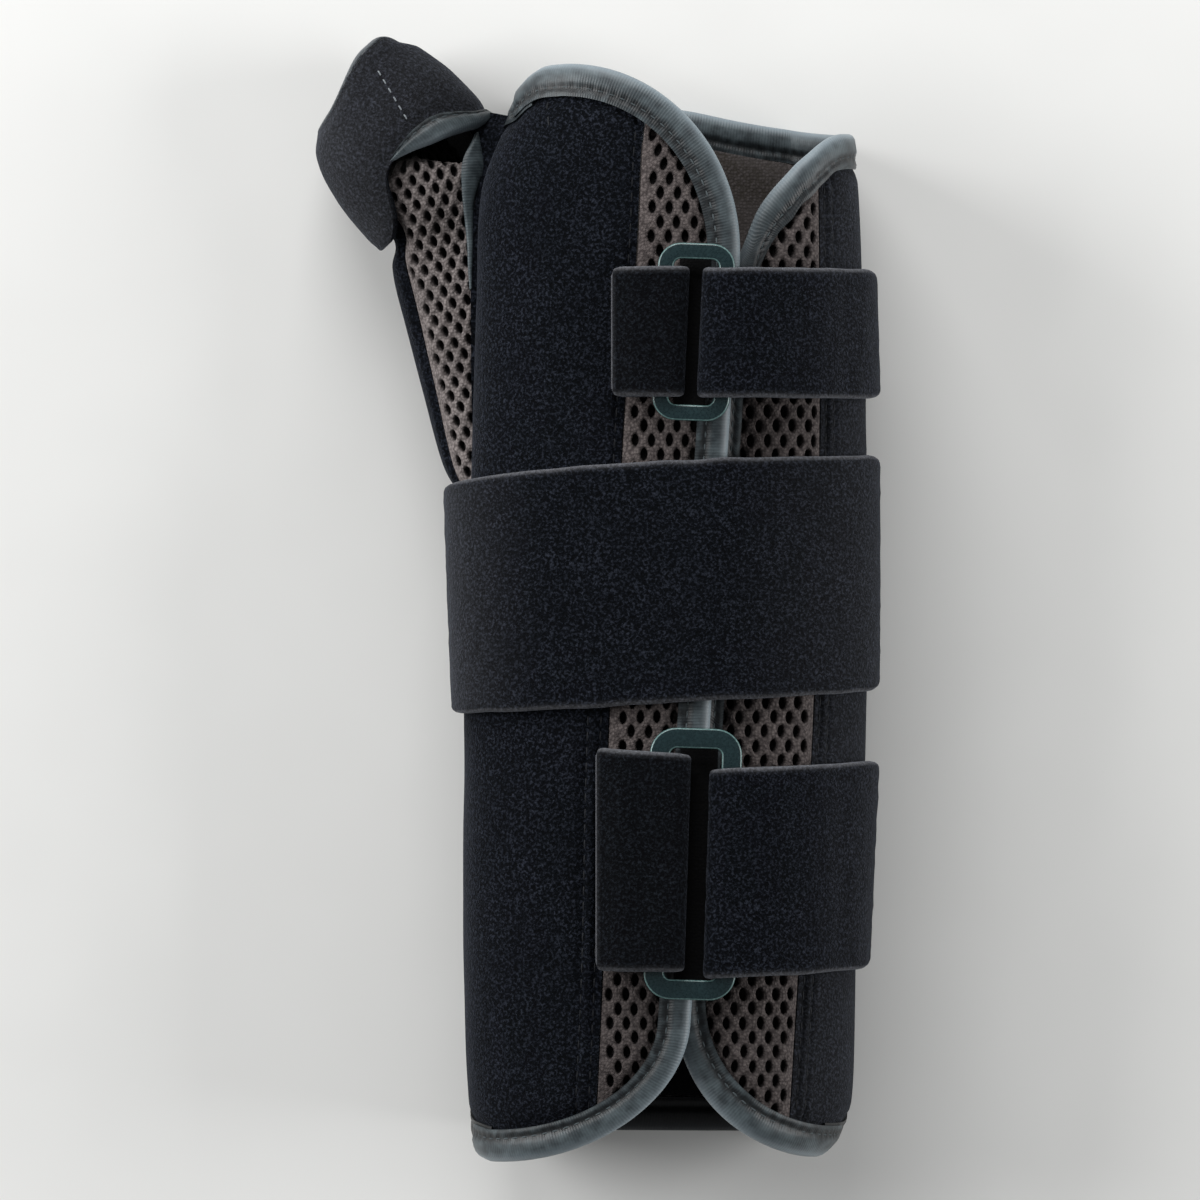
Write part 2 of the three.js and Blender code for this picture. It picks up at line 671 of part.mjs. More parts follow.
// Angle at which a section of the thumb sleeve opens to the hand
function openingDeg(station) {
  const round = Math.min(thumbColumns.round(station), 0.5);
  return THREE.MathUtils.radToDeg(Math.acos(round / (1 - round)));
}
const TURN = 360;
const SEAM_DEG = 0.9; // half the gap at the seam of the thumb sleeve
const CLOSE_DEG = 2; // gap where the side panel comes back to the mesh
const thumbMesh = panel(9, 13, (column, row, wall) => {
  const station = row * SLEEVE_END;
  const angle = lerp(openingDeg(station), SIDE_SEAM_DEG - SEAM_DEG, column);
  return thumbAt(station, angle, -WALL * (1 - wall));
});
const thumbSide = panel(7, 13, (column, row, wall) => {
  const station = row * SLEEVE_END;
  const angle = lerp(SIDE_SEAM_DEG + SEAM_DEG, TURN - CLOSE_DEG - openingDeg(station), column);
  return thumbAt(station, angle, -WALL * (1 - wall));
});

// Grey tape at the web of the thumb, widest in the middle and pointed at both ends
const WEB_TAPE = { from: 3.8, to: 5, width: 20, clear: 13, point: 0.25, wall: 0.7 };
const webTape = panel(2, 8, (column, row, wall) => {
  const station = lerp(WEB_TAPE.from, WEB_TAPE.to, row);
  const width = WEB_TAPE.width * lerp(WEB_TAPE.point, 1, Math.sin(Math.PI * row));
  const angle = openingDeg(station) + WEB_TAPE.clear + column * width;
  return thumbAt(station, angle, GAP + WEB_TAPE.wall * wall);
});

// Thumb band and its edge tapes; its base rim is cut back at the front
function bandBase(angleDeg) {
  const turn = (angleDeg + TURN) % TURN;
  const front = smoothstep(turn, 0, BAND_RISE_DEG) * (1 - smoothstep(turn, BAND_FALL_DEG, BAND_LEVEL_DEG));
  return BAND_AT + BAND_FRONT_RISE * front;
}
function bandRing(rows, fromOf, toOf, low, high) {
  return hoop(rows, BAND_SEGMENTS, (along, wall, angle) =>
    thumbAt(lerp(fromOf(angle), toOf(angle), along), angle, lerp(low, high, wall)),
  );
}
const BAND_GAP = 0.03; // in rows of the thumb table
const bandStart = (angle) => bandBase(angle) + BAND_BASE_TAPE + BAND_GAP;
const bandEnd = () => TIP_AT - BAND_TIP_TAPE;
const bandOuter = GAP + BAND_WALL;
const thumbBand = bandRing(4, bandStart, bandEnd, GAP, bandOuter);
const baseTape = bandRing(
  1,
  bandBase,
  (angle) => bandBase(angle) + BAND_BASE_TAPE,
  GAP,
  bandOuter + BINDING_RAISE,
);
const tipTape = bandRing(
  1,
  () => bandEnd() + BAND_GAP,
  () => TIP_AT,
  GAP,
  bandOuter + BINDING_RAISE,
);

// A strap or tab: a path of (s, height above the flaps) with the strip's lower and upper edges
function strap(path, steps, lowOf, highOf, lean, shift) {
  return strip(STRAP_SOFTNESS, steps, (across, thick, along) => {
    const centre = path.getPointAt(THREE.MathUtils.clamp(along, 0, 1));
    const tangent = path.getTangentAt(THREE.MathUtils.clamp(along, 0, 1));
    const y = lerp(lowOf(centre.x), highOf(centre.x), across);
    const s = centre.x - tangent.y * thick * STRAP + shift(y);
    const h = centre.y + tangent.x * thick * STRAP;
    return wrap(s, y, over(s, y) + h + lean(s) * across);
  });
}
const LEG = STRAP / 2; // height of a leg's middle above what it lies on
const RETURN = LEG + STRAP + RING + 2 * RING_CLEAR; // height of the returning leg over a ring bar
const level = () => 0;
const straightAt = (x, middleY) => (y) => frontS(x, y) - frontS(x, middleY);

// Sewn tab: under leg to the ring bar, fold round it, and back over itself
function tab(size) {
  const middleY = (size.low + size.high) / 2;
  const from = frontS(size.fromX, middleY);
  const fold = frontS(size.foldX, middleY) - STRAP / 2;
  const reach = (RETURN - LEG) / 2;
  const path = new THREE.Path();
  path.moveTo(from, LEG);
  path.lineTo(fold - reach, LEG);
  path.absellipse(fold - reach, LEG + reach, reach, reach, -Math.PI / 2, Math.PI / 2, false);
  path.lineTo(from + reach * 2, RETURN);
  path.lineTo(from, LEG + STRAP + GAP);
  return strap(path, 26, () => size.low, () => size.high, level, straightAt(size.foldX, middleY));
}

// Strap folded round the far bar of a ring: sewn leg, fold, and the outer leg round the right side
function foldedStrap(size) {
  const middleY = (size.low + size.high) / 2;
  const sewn = frontS(size.sewnX, middleY);
  const fold = frontS(size.foldX, middleY) + STRAP / 2;
  const reach = (RETURN - LEG) / 2;
  const end = waistRightS(middleY) + size.pastWaist;
  const path = new THREE.Path();
  path.moveTo(sewn, LEG);
  path.lineTo(fold + reach, LEG);
  path.absellipse(fold + reach, LEG + reach, reach, reach, -Math.PI / 2, Math.PI / 2, true);
  path.lineTo(fold + reach + STRAP * 3, RETURN);
  path.lineTo(sewn - STRAP, LEG + STRAP + GAP);
  path.lineTo(sewn + STRAP * 2, LEG + GAP);
  path.lineTo(end, LEG + GAP);
  return strap(path, 44, () => size.low, () => size.high, level, straightAt(size.foldX, middleY));
}

// Plastic ring lying on the under legs, turned a little in its own plane
const RING_BEVEL = 0.4;
function ring(size) {
  const lie = LEG * 2 + RING_CLEAR + RING / 2;
  const seat = (x, y) => wrap(frontS(x, y), y, over(frontS(x, y), y) + lie);
  const barOffset = (size.width - size.bar) / 2;
  const left = seat(size.x - barOffset, size.y);
  const right = seat(size.x + barOffset, size.y);
  const low = seat(size.x, size.y - size.length / 2);
  const high = seat(size.x, size.y + size.length / 2);
  const along = high.sub(low).normalize();
  const across = right.clone().sub(left).normalize();
  const normal = across.clone().cross(along).normalize();
  const basis = new THREE.Matrix4().makeBasis(along.clone().cross(normal), along, normal);
  const centre = left.add(right).multiplyScalar(0.5);
  const plate = roundedPlate(size.width, size.length, size.corner);
  const inner = Math.max(size.corner - size.bar * 0.6, 1);
  plate.holes.push(roundedPlate(size.width - 2 * size.bar, size.length - 2 * size.bar, inner));
  const frame = new THREE.ExtrudeGeometry(plate, {
    depth: RING - 2 * RING_BEVEL,
    curveSegments: 4,
    bevelThickness: RING_BEVEL,
    bevelSize: RING_BEVEL,
    bevelOffset: -RING_BEVEL,
    bevelSegments: 1,
  });
  const turn = new THREE.Matrix4().makeRotationZ(degToRad(size.leanDeg));
  const place = basis.multiply(turn).setPosition(centre);
  const centred = (x, y, z) => new THREE.Vector3(x, y, z + RING_BEVEL - RING / 2);
  return moved(frame, (x, y, z) => centred(x, y, z).applyMatrix4(place));
}

function roundedPlate(width, length, radius) {
  const x = width / 2;
  const y = length / 2;
  const plate = new THREE.Shape();
  plate.moveTo(x - radius, -y);
  plate.absarc(x - radius, radius - y, radius, -Math.PI / 2, 0);
  plate.absarc(x - radius, y - radius, radius, 0, Math.PI / 2);
  plate.absarc(radius - x, y - radius, radius, Math.PI / 2, Math.PI);
  plate.absarc(radius - x, radius - y, radius, Math.PI, 1.5 * Math.PI);
  return plate;
}

// Middle strap over both flaps, with its ends on the two sides
function middleStrap() {
  const rows = MIDDLE_EDGES.map((row) => ({ ...row, s: frontS(row.x, (row.low + row.high) / 2) }));
  const middleY = (rows[1].low + rows[1].high) / 2;
  const from = waistLeftS(middleY) - MIDDLE_LEFT_END;
  const to = waistRightS(middleY) + MIDDLE_RIGHT_END;
  const path = new THREE.Path();
  path.moveTo(from, LEG);
  path.lineTo(to, LEG);
  const lean = (s) => MIDDLE_LEFT_RISE * (1 - smoothstep(s, rows[0].s, rows[1].s));
  return strap(path, 40, through(rows, "s", "low"), through(rows, "s", "high"), lean, level);
}

const group = new THREE.Group();
function add(name, geometry, look) {
  const mesh = new THREE.Mesh(geometry, new THREE.MeshStandardMaterial(COLOURS[look]));
  mesh.name = name;
  group.add(mesh);
}
add("left_panel", leftPanel, "loop");
add("left_mesh", leftMesh, "mesh");
add("left_flap_binding", leftBinding, "tape");
add("right_panel", rightPanel, "loop");
add("right_mesh", rightMesh, "mesh");
add("right_flap_binding", rightBinding, "tape");
add("back_panel", backPanel, "loop");
add("back_lining", backLining, "lining");
add("back_top_binding", topTape, "tape");
add("back_bottom_binding", bottomTape, "tape");
add("thumb_mesh", thumbMesh, "mesh");
add("thumb_side_panel", thumbSide, "loop");
add("thumb_seam_tape", webTape, "tape");
add("thumb_band", thumbBand, "loop");
add("thumb_band_base_binding", baseTape, "tape");
add("thumb_band_tip_binding", tipTape, "tape");
add("top_tab", tab(TOP_TAB), "loop");
add("top_ring", ring(TOP_RING), "plastic");
add("top_strap", foldedStrap(TOP_STRAP), "loop");
add("middle_strap", middleStrap(), "loop");
add("bottom_tab", tab(BOTTOM_TAB), "loop");
add("bottom_ring", ring(BOTTOM_RING), "plastic");
add("bottom_strap", foldedStrap(BOTTOM_STRAP), "loop");

export default group;
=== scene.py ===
"""Looks of a right-hand wrist and thumb brace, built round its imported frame, for Blender 4.5.

The fabric pieces are cut on a flat pattern (s round the sleeve, y along it, h above its surface),
in millimetres, and are then wrapped on the sleeve form, as the real ones are sewn.
"""

import logging
import math
from dataclasses import dataclass, field
from enum import Enum
from typing import Callable, Optional, Sequence

import bpy
import numpy as np
from mathutils import Matrix, Vector
from mathutils.geometry import delaunay_2d_cdt


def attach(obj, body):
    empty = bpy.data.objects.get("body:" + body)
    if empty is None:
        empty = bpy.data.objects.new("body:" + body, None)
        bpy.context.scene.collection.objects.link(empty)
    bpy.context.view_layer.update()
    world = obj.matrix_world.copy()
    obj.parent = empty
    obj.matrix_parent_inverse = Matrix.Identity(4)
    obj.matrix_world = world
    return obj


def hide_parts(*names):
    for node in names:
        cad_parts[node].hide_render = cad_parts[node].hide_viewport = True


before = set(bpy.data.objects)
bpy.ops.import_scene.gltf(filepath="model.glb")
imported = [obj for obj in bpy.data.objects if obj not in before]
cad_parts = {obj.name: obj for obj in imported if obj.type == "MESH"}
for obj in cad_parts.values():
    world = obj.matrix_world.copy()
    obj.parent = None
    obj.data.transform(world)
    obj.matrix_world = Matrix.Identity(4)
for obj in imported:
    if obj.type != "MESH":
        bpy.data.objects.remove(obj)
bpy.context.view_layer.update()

LOG = logging.getLogger("wrist_brace")
MM = 0.001
BODY = "root"

Array = np.ndarray
Pair = tuple[Array, Array]
Span = tuple[float, float]
Of = Callable[[Array], Array]
OfTwo = Callable[[Array, Array], Array]
Place = Callable[[Array, Array, Array], Array]
Piece = bpy.types.Object


class Slot(Enum):
    """Material slots of the part's record."""

    LOOP = "loop"
    MESH = "mesh"
    TAPE = "tape"
    LINING = "lining"
    RING = "ring"


class Side(Enum):
    """The two flaps of the closure; the value is the direction in which their reach grows."""

    LEFT = -1
    RIGHT = 1


@dataclass(frozen=True)
class Curve:
    """A smooth curve through the rows of a short table."""

    rows: tuple[Span, ...]

    def __call__(self, value: Array) -> Array:
        """Reads the curve.

        Args:
            value: places in the first column, any shape.

        Returns:
            The second column there, held at both ends.
        """
        x, y = np.array(self.rows, float).T
        last = len(x) - 1
        after = np.minimum(np.arange(last + 1) + 1, last)
        before = np.maximum(np.arange(last + 1) - 1, 0)
        slope = (y[after] - y[before]) / (x[after] - x[before])
        value = np.clip(np.asarray(value, float), x[0], x[-1])
        i = np.clip(np.searchsorted(x, value, side="right") - 1, 0, last - 1)
        span = x[i + 1] - x[i]
        t = (value - x[i]) / span
        bend = t * (1 - t) * span
        straight = y[i] + (y[i + 1] - y[i]) * t * t * (3 - 2 * t)
        return straight + bend * ((1 - t) * slope[i] - t * slope[i + 1])


def smooth(value: Array, low: float, high: float) -> Array:
    """Smooth step from 0 at low to 1 at high."""
    t = np.clip((np.asarray(value, float) - low) / (high - low), 0, 1)
    return t * t * (3 - 2 * t)


def mix(a: Array, b: Array, t: Array) -> Array:
    """Straight mix from a at 0 to b at 1."""
    return a + (b - a) * t


def ripple(points: Array, size: float, seed: int) -> Array:
    """Soft seeded unevenness, as in hand-sewn cloth.

    Args:
        points: places in millimetres, shape (..., 2 or 3).
        size: width of a lump in millimetres.
        seed: which of the many patterns.

    Returns:
        Values of about -1 to 1, one for each place.
    """
    draw = np.random.default_rng(seed)
    waves = 9
    directions = draw.normal(size=(waves, points.shape[-1]))
    directions /= np.linalg.norm(directions, axis=1)[:, None]
    lengths = size * draw.uniform(1.5, 3.0, waves)
    turns = points @ (directions * (2 * math.pi / lengths)[:, None]).T
    return np.sin(turns + draw.uniform(0, 2 * math.pi, waves)).sum(-1) / math.sqrt(waves)


def bell(value: Array, width: float) -> Array:
    """Bell curve: 1 at 0, falling away over a width."""
    return np.exp(-((value / width) ** 2))


def alike(*values: Array) -> Sequence[Array]:
    """Values as arrays of one shape."""
    return np.broadcast_arrays(*(np.asarray(value, float) for value in values))


def pairs(a: Array, b: Array) -> Array:
    """Flat places from their two coordinates."""
    return np.stack(alike(a, b), -1)


def measured(line: Array) -> Array:
    """Length along a line up to each of its points."""
    return np.concatenate([[0], np.cumsum(np.linalg.norm(np.diff(line, axis=0), axis=1))])


def between(at: Array, along: Array, points: Array) -> Array:
    """Points of a line at lengths along it."""
    return np.stack([np.interp(at, along, column) for column in points.T], -1)


def by_section(*values: float) -> Curve:
    """Curve of one of the sleeve's measures over the y of its sections."""
    return Curve(tuple(zip((-106, -101, -97, -91, -65, -20, 30, 60, 81, 93.5, 100.5, 107), values)))


@dataclass
class SleeveForm:
    """The form that the sleeve's fabric is wrapped on: round above, boxy below, flat where it rests."""

    waist: float = 0.52
    crown_power: float = 2.3
    back_power: float = 3.2
    back_sink: float = 2.5
    closure_x: float = 10.7
    closure_lean: float = 0.065
    tangent_span: float = 1.5
    y_step: float = 0.5
    s_step: float = 0.25
    steps: int = 360
    y_range: Span = (-108.0, 110.0)
    s_reach: float = 140.0
    left: Curve = by_section(
        -34.2, -35.3, -35.9, -36.4, -37.3, -37.1, -36.1, -35.2, -34.2, -29.6, -27.2, -25.8)
    right: Curve = by_section(28.5, 32.6, 35.2, 36.5, 37.2, 39.1, 39.3, 38.6, 37.7, 37.1, 36.6, 36.2)
    height: Curve = by_section(53, 53.2, 53.4, 53.5, 53.5, 52, 50, 48.5, 47.5, 46.5, 46, 45.5)
    left_seam: Curve = Curve((
        (-104, -12.8), (-90, -12.1), (-66, -11), (-24, -10), (30, -7.4), (45, -6.4), (68, -4.5),
        (90, -3.4), (104, -1.5),
    ))
    right_seam: Curve = Curve(((-104, 24.4), (-83, 25.7), (-20, 29.5), (35, 30.8), (92, 30.6)))
    back_left: Curve = Curve(((-104, -24.5), (72, -24.5), (100, -16)))
    back_right_x: float = 24.5

    def __post_init__(self) -> None:
        """Measures the sections once, on a grid of y and s."""
        self.y = np.arange(self.y_range[0], self.y_range[1] + self.y_step, self.y_step)
        y = self.y[:, None]
        angle = math.pi * (2 * np.arange(self.steps + 1) / self.steps - 1)[None, :]
        up = np.cos(angle) > 0
        power = np.where(up, self.crown_power, self.back_power)
        waist = self.waist * self.height(y)
        rise = np.where(up, self.height(y) - waist, waist + self.back_sink)
        bent_x = np.sign(np.sin(angle)) * np.abs(np.sin(angle)) ** (2 / power)
        bent_z = np.sign(np.cos(angle)) * np.abs(np.cos(angle)) ** (2 / power)
        x = (self.left(y) + self.right(y)) / 2 + (self.right(y) - self.left(y)) / 2 * bent_x
        z = np.maximum(waist + rise * bent_z, 0)
        lengths = np.zeros_like(x)
        lengths[:, 1:] = np.cumsum(np.hypot(np.diff(x), np.diff(z)), axis=1)
        lengths -= lengths[:, [self.steps // 2]]
        self.x, self.lengths = x, lengths
        self.s = np.arange(-self.s_reach, self.s_reach + self.s_step, self.s_step)
        past = [np.maximum(l[0] - self.s, 0) - np.maximum(self.s - l[-1], 0) for l in lengths]
        self.grid_x = np.array([np.interp(self.s, l, row) for l, row in zip(lengths, x)]) + past
        self.grid_z = np.array([np.interp(self.s, l, row) for l, row in zip(lengths, z)])
        quarter = self.steps // 4
        self.waist_left = self.by_y(lengths[:, quarter])
        self.waist_right = self.by_y(lengths[:, 3 * quarter])
        self.half = self.by_y(lengths[:, -1])
        self.left_seam_s = self.by_y(self.front_s(self.left_seam(self.y), self.y))
        self.right_seam_s = self.by_y(self.front_s(self.right_seam(self.y), self.y))
        self.closure_s = self.by_y(self.front_s(self.closure(self.y), self.y))
        lower = [np.interp(v, r[quarter::-1], l[quarter::-1]) for v, r, l in
                 zip(self.back_left(self.y), x, lengths)]
        self.back_left_s = self.by_y(np.array(lower))
        lower = [np.interp(self.back_right_x, r[:3 * quarter - 1:-1], l[:3 * quarter - 1:-1])
                 for r, l in zip(x, lengths)]
        self.back_right_s = self.by_y(np.array(lower))

    def by_y(self, values: Array) -> Of:
        """Turns values on the y grid into a function of y."""
        return lambda y: np.interp(y, self.y, values)

    def closure(self, y: Array) -> Array:
        """The x of the closure line, which leans to the right as it goes up."""
        return self.closure_x + self.closure_lean * np.asarray(y, float)

    def _cell(self, y: Array) -> Pair:
        """Row of the grid below each y, and the share towards the next row."""
        at = np.clip((y - self.y[0]) / self.y_step, 0, len(self.y) - 1.001)
        row = at.astype(int)
        return row, at - row

    def flat(self, s: Array, y: Array) -> Pair:
        """The x and z of the form at pattern places."""
        row, f = self._cell(y)
        at = np.clip((s - self.s[0]) / self.s_step, 0, len(self.s) - 1.001)
        col = at.astype(int)
        g = at - col
        found = []
        for grid in (self.grid_x, self.grid_z):
            low = mix(grid[row, col], grid[row, col + 1], g)
            high = mix(grid[row + 1, col], grid[row + 1, col + 1], g)
            found.append(mix(low, high, f))
        return found[0], found[1]

    def front_s(self, x: Array, y: Array) -> Array:
        """Pattern length s at which the upper half of a section crosses x."""
        x, y = alike(x, y)
        row, f = self._cell(y)
        found = np.empty(x.shape)
        upper = slice(self.steps // 4, 3 * self.steps // 4 + 1)
        for r in np.unique(row):
            pick = row == r
            low = np.interp(x[pick], self.x[r, upper], self.lengths[r, upper])
            high = np.interp(x[pick], self.x[r + 1, upper], self.lengths[r + 1, upper])
            found[pick] = mix(low, high, f[pick])
        return found

    def wrap(self, s: Array, y: Array, h: Array) -> Array:
        """Puts places of the flat pattern on the form.

        Args:
            s: length round the sleeve from the crown, to the right.
            y: length along the sleeve.
            h: height above the form.

        Returns:
            Points in millimetres, shape (..., 3).
        """
        s, y, h = alike(s, y, h)
        x, z = self.flat(s, y)
        x0, z0 = self.flat(s - self.tangent_span, y)
        x1, z1 = self.flat(s + self.tangent_span, y)
        long = np.hypot(x1 - x0, z1 - z0)
        return np.stack([x - (z1 - z0) / long * h, y, z + (x1 - x0) / long * h], axis=-1)


FORM = SleeveForm()


@dataclass(frozen=True)
class Corner:
    """A rounded corner of a flap: semi-axes across and along, and the y where it starts."""

    across: float
    along: float
    y: float
    start: float
    side: int

    def point(self, turn: Array, inset: Array) -> Pair:
        """Reach and y of the corner, turn 0 on the rim and 1 on the closure edge."""
        angle = turn * math.pi / 2
        reach = self.start + self.across - (self.across - inset) * np.sin(angle)
        return reach, self.y + self.side * (self.along - inset) * np.cos(angle)

    def height(self, reach: Array, inset: Array, rim: Curve) -> Array:
        """The y of the rim at a reach: the corner first, then the rim's own curve."""
        end = self.start + self.across
        share = np.clip((end - reach) / (self.across - inset), 0, 1)
        inside = self.y + self.side * (self.along - inset) * np.sqrt(1 - share * share)
        return np.where(reach >= end, rim(reach) - self.side * inset, inside)


@dataclass(frozen=True)
class Flap:
    """Pattern of one flap of the closure: how far it reaches, how it rises, and its two rims."""

    side: Side
    bottom_corner: Corner
    bottom_rim: Curve
    top_rim: Curve
    top_corner: Optional[Corner]
    edge: float
    lift: float = 1.3
    lift_reach: float = 9.0
    dip: float = 2.2
    dip_span: Span = (1.5, 14.0)
    slope_step: float = 0.5

    def waist(self, y: Array) -> Array:
        """Pattern length where the flap's side is widest."""
        return FORM.waist_left(y) if self.side is Side.LEFT else FORM.waist_right(y)

    def reach(self, s: Array, y: Array) -> Array:
        """Distance from the closure line, as seen from the front and on round the side."""
        s, y = alike(s, y)
        way, waist = self.side.value, self.waist(y)
        x, _ = FORM.flat(way * np.minimum(way * s, way * waist), y)
        return way * (x - FORM.closure(y)) + np.maximum(way * (s - waist), 0)

    def s_at(self, reach: Array, y: Array) -> Array:
        """Pattern length at a reach."""
        reach, y = alike(reach, y)
        way, waist = self.side.value, self.waist(y)
        side_x = FORM.left(y) if self.side is Side.LEFT else FORM.right(y)
        to_side = way * (side_x - FORM.closure(y))
        front = FORM.front_s(FORM.closure(y) + way * np.minimum(reach, to_side), y)
        return np.where(reach < to_side, front, waist + way * (reach - to_side))

    def rise(self, reach: Array) -> Array:
        """Height of the flap above the form near the closure."""
        if self.side is Side.LEFT:
            return self.lift * bell(np.maximum(reach, 0), self.lift_reach)
        return -self.dip * (1 - smooth(reach, *self.dip_span))

    def top(self, reach: Array, inset: Array) -> Array:
        """The y of the top rim, drawn in by the inset."""
        if self.top_corner:
            return self.top_corner.height(reach, inset, self.top_rim)
        step = self.slope_step
        slope = (self.top_rim(reach + step) - self.top_rim(reach - step)) / (2 * step)
        return self.top_rim(reach) - inset * np.hypot(1, slope)

    def bottom(self, reach: Array, inset: Array) -> Array:
        """The y of the bottom rim, drawn in by the inset."""
        return self.bottom_corner.height(reach, inset, self.bottom_rim)

    def crossing(self, s_of: Of, inset: float, upper: bool, columns: int) -> Array:
        """The y at which pattern columns meet a rim.

        Args:
            s_of: pattern lengths of all columns for an array of y, one for each column.
            inset: how far inside the rim.
            upper: the top rim, or else the bottom one.
            columns: how many columns there are.

        Returns:
            One y for each column.
        """
        way = 1 if upper else -1
        inside, outside = np.full(columns, -10.0), np.full(columns, 106.0 * way)
        for _ in range(32):
            y = (inside + outside) / 2
            reach = self.reach(s_of(y), y)
            rim = self.top(reach, inset) if upper else self.bottom(reach, inset)
            within = way * (rim - y) > 0
            inside = np.where(within, y, inside)
            outside = np.where(within, outside, y)
        return inside


TUCK = 3.5
LEFT_FLAP = Flap(
    side=Side.LEFT,
    bottom_corner=Corner(across=37, along=26.6, y=-77, start=0, side=-1),
    bottom_rim=Curve(((37, -103.6), (40, -102.6), (45, -100.4), (56, -99), (90, -98.8))),
    top_corner=Corner(across=36, along=38.5, y=66, start=0, side=1),
    top_rim=Curve((
        (36, 104.5), (40, 104.1), (42.5, 102.8), (45, 100.4), (50, 98.8), (62, 97.9),
        (75, 97.6), (92, 97.2), (112, 95.2),
    )),
    edge=0,
)
RIGHT_FLAP = Flap(
    side=Side.RIGHT,
    bottom_corner=Corner(across=33.5, along=32, y=-71, start=-TUCK, side=-1),
    bottom_rim=Curve(((30, -103), (36, -101.4), (46, -99.4), (90, -98.8))),
    top_corner=None,
    top_rim=Curve((
        (-5, 57.5), (0.6, 68.6), (3.9, 77), (9.8, 84.8), (12.3, 87.3), (14.3, 89.1), (16.6, 90.6),
        (19.5, 91.4), (40, 92), (53, 93.5), (74, 97.2), (94, 98.4),
    )),
    edge=-TUCK,
)


def linear(colour: str) -> tuple[float, float, float, float]:
    """Turns an sRGB hex colour to linear light, with full alpha."""
    parts = [int(colour[i:i + 2], 16) / 255 for i in (1, 3, 5)]
    light = [p / 12.92 if p <= 0.04045 else ((p + 0.055) / 1.055) ** 2.4 for p in parts]
    return light[0], light[1], light[2], 1.0


def per_mm(size: float) -> float:
    """Texture scale that makes one cell of a pattern this many millimetres wide."""
    return 1 / (size * MM)


Socket = bpy.types.NodeSocket
Inputs = dict[object, object]
MIX_FACTOR, MIX_A, MIX_B, MIX_OUT = 0, 6, 7, 2


def add_node(tree: bpy.types.NodeTree, kind: str, inputs: Inputs, **settings: object) -> bpy.types.Node:
    """Adds a node with its settings and links.

    Args:
        tree: the material's node tree.
        kind: Blender's name of the node, after ShaderNode.
        inputs: sockets by name or number, each with a value, a hex colour or the socket it is linked from.
        settings: properties of the node.

    Returns:
        The new node.
    """
    node = tree.nodes.new("ShaderNode" + kind)
    for name, value in settings.items():
        setattr(node, name, value)
    for socket, value in inputs.items():
        if isinstance(value, Socket):
            tree.links.new(value, node.inputs[socket])
        else:
            node.inputs[socket].default_value = linear(value) if isinstance(value, str) else value
    return node


class Nodes:
    """Node tree of one material, with the patterns and mixes that the finishes share."""

    def __init__(self, tree: bpy.types.NodeTree) -> None:
        """Starts with the places that all patterns read."""
        self.tree = tree
        self.places = add_node(tree, "TexCoord", {}).outputs

    def noise(self, size: float, detail: float, **more: float) -> Socket:
        """Uneven pattern with lumps of this many millimetres."""
        inputs = {"Vector": self.places["Object"], "Scale": per_mm(size), "Detail": detail, **more}
        return add_node(self.tree, "TexNoise", inputs).outputs["Fac"]

    def cells(self, size: float, randomness: float) -> Socket:
        """Distance from the middles of cells of this many millimetres."""
        inputs = {"Vector": self.places["Object"], "Scale": per_mm(size), "Randomness": randomness}
        return add_node(self.tree, "TexVoronoi", inputs).outputs["Distance"]

    def ribs(self, size: float) -> Socket:
        """Slightly uneven ribs of this many millimetres, across the pattern's length."""
        inputs = {"Vector": self.places["UV"], "Scale": per_mm(size) / 3.2, "Distortion": 1.2, "Detail": 1.0}
        return add_node(self.tree, "TexWave", inputs, wave_type="BANDS", bands_direction="Y").outputs["Fac"]

    def spread(self, value: Socket, low: float, high: float, least: float = 0.0, most: float = 1.0) -> Socket:
        """Spreads values from low to high over another range."""
        inputs = {"Value": value, "From Min": low, "From Max": high, "To Min": least, "To Max": most}
        return add_node(self.tree, "MapRange", inputs).outputs[0]

    def join(self, operation: str, a: Socket, b: Socket, clamped: bool = False) -> Socket:
        """Joins two values by a sum of Blender's name."""
        return add_node(self.tree, "Math", {0: a, 1: b}, operation=operation, use_clamp=clamped).outputs[0]

    def blend(self, factor: Socket, a: object, b: object) -> Socket:
        """Mixes two colours, each a hex value or a socket."""
        inputs = {MIX_FACTOR: factor, MIX_A: a, MIX_B: b}
        return add_node(self.tree, "Mix", inputs, data_type="RGBA").outputs[MIX_OUT]

    def mark(self, name: str) -> Socket:
        """A mark that the piece's points carry."""
        return add_node(self.tree, "Attribute", {}, attribute_name=name).outputs["Fac"]

    def relief(self, height: Socket, strength: float, depth: float, inverted: bool = False) -> Socket:
        """Normals of a fine relief, this many millimetres deep."""
        inputs = {"Strength": strength, "Distance": depth * MM, "Height": height}
        return add_node(self.tree, "Bump", inputs, invert=inverted).outputs[0]

    def surface(self, colour: Socket, roughness: object, **more: object) -> Socket:
        """The shader; names of its further inputs have underscores for spaces."""
        inputs = {"Base Color": colour, "Roughness": roughness}
        inputs.update({name.replace("_", " "): value for name, value in more.items()})
        return add_node(self.tree, "BsdfPrincipled", inputs).outputs[0]


class Finish:
    """A finish: it makes its material once and hands it out."""

    name: str

    def material(self) -> bpy.types.Material:
        """The finish's material, made at its first use."""
        found = bpy.data.materials.get(self.name)
        if found:
            return found
        made = bpy.data.materials.new(self.name)
        made.use_nodes = True
        made.node_tree.nodes.clear()
        shader = self.shade(Nodes(made.node_tree))
        add_node(made.node_tree, "OutputMaterial", {"Surface": shader})
        return made

    def shade(self, nodes: Nodes) -> Socket:
        """Adds the finish's nodes and returns its shader."""
        raise NotImplementedError


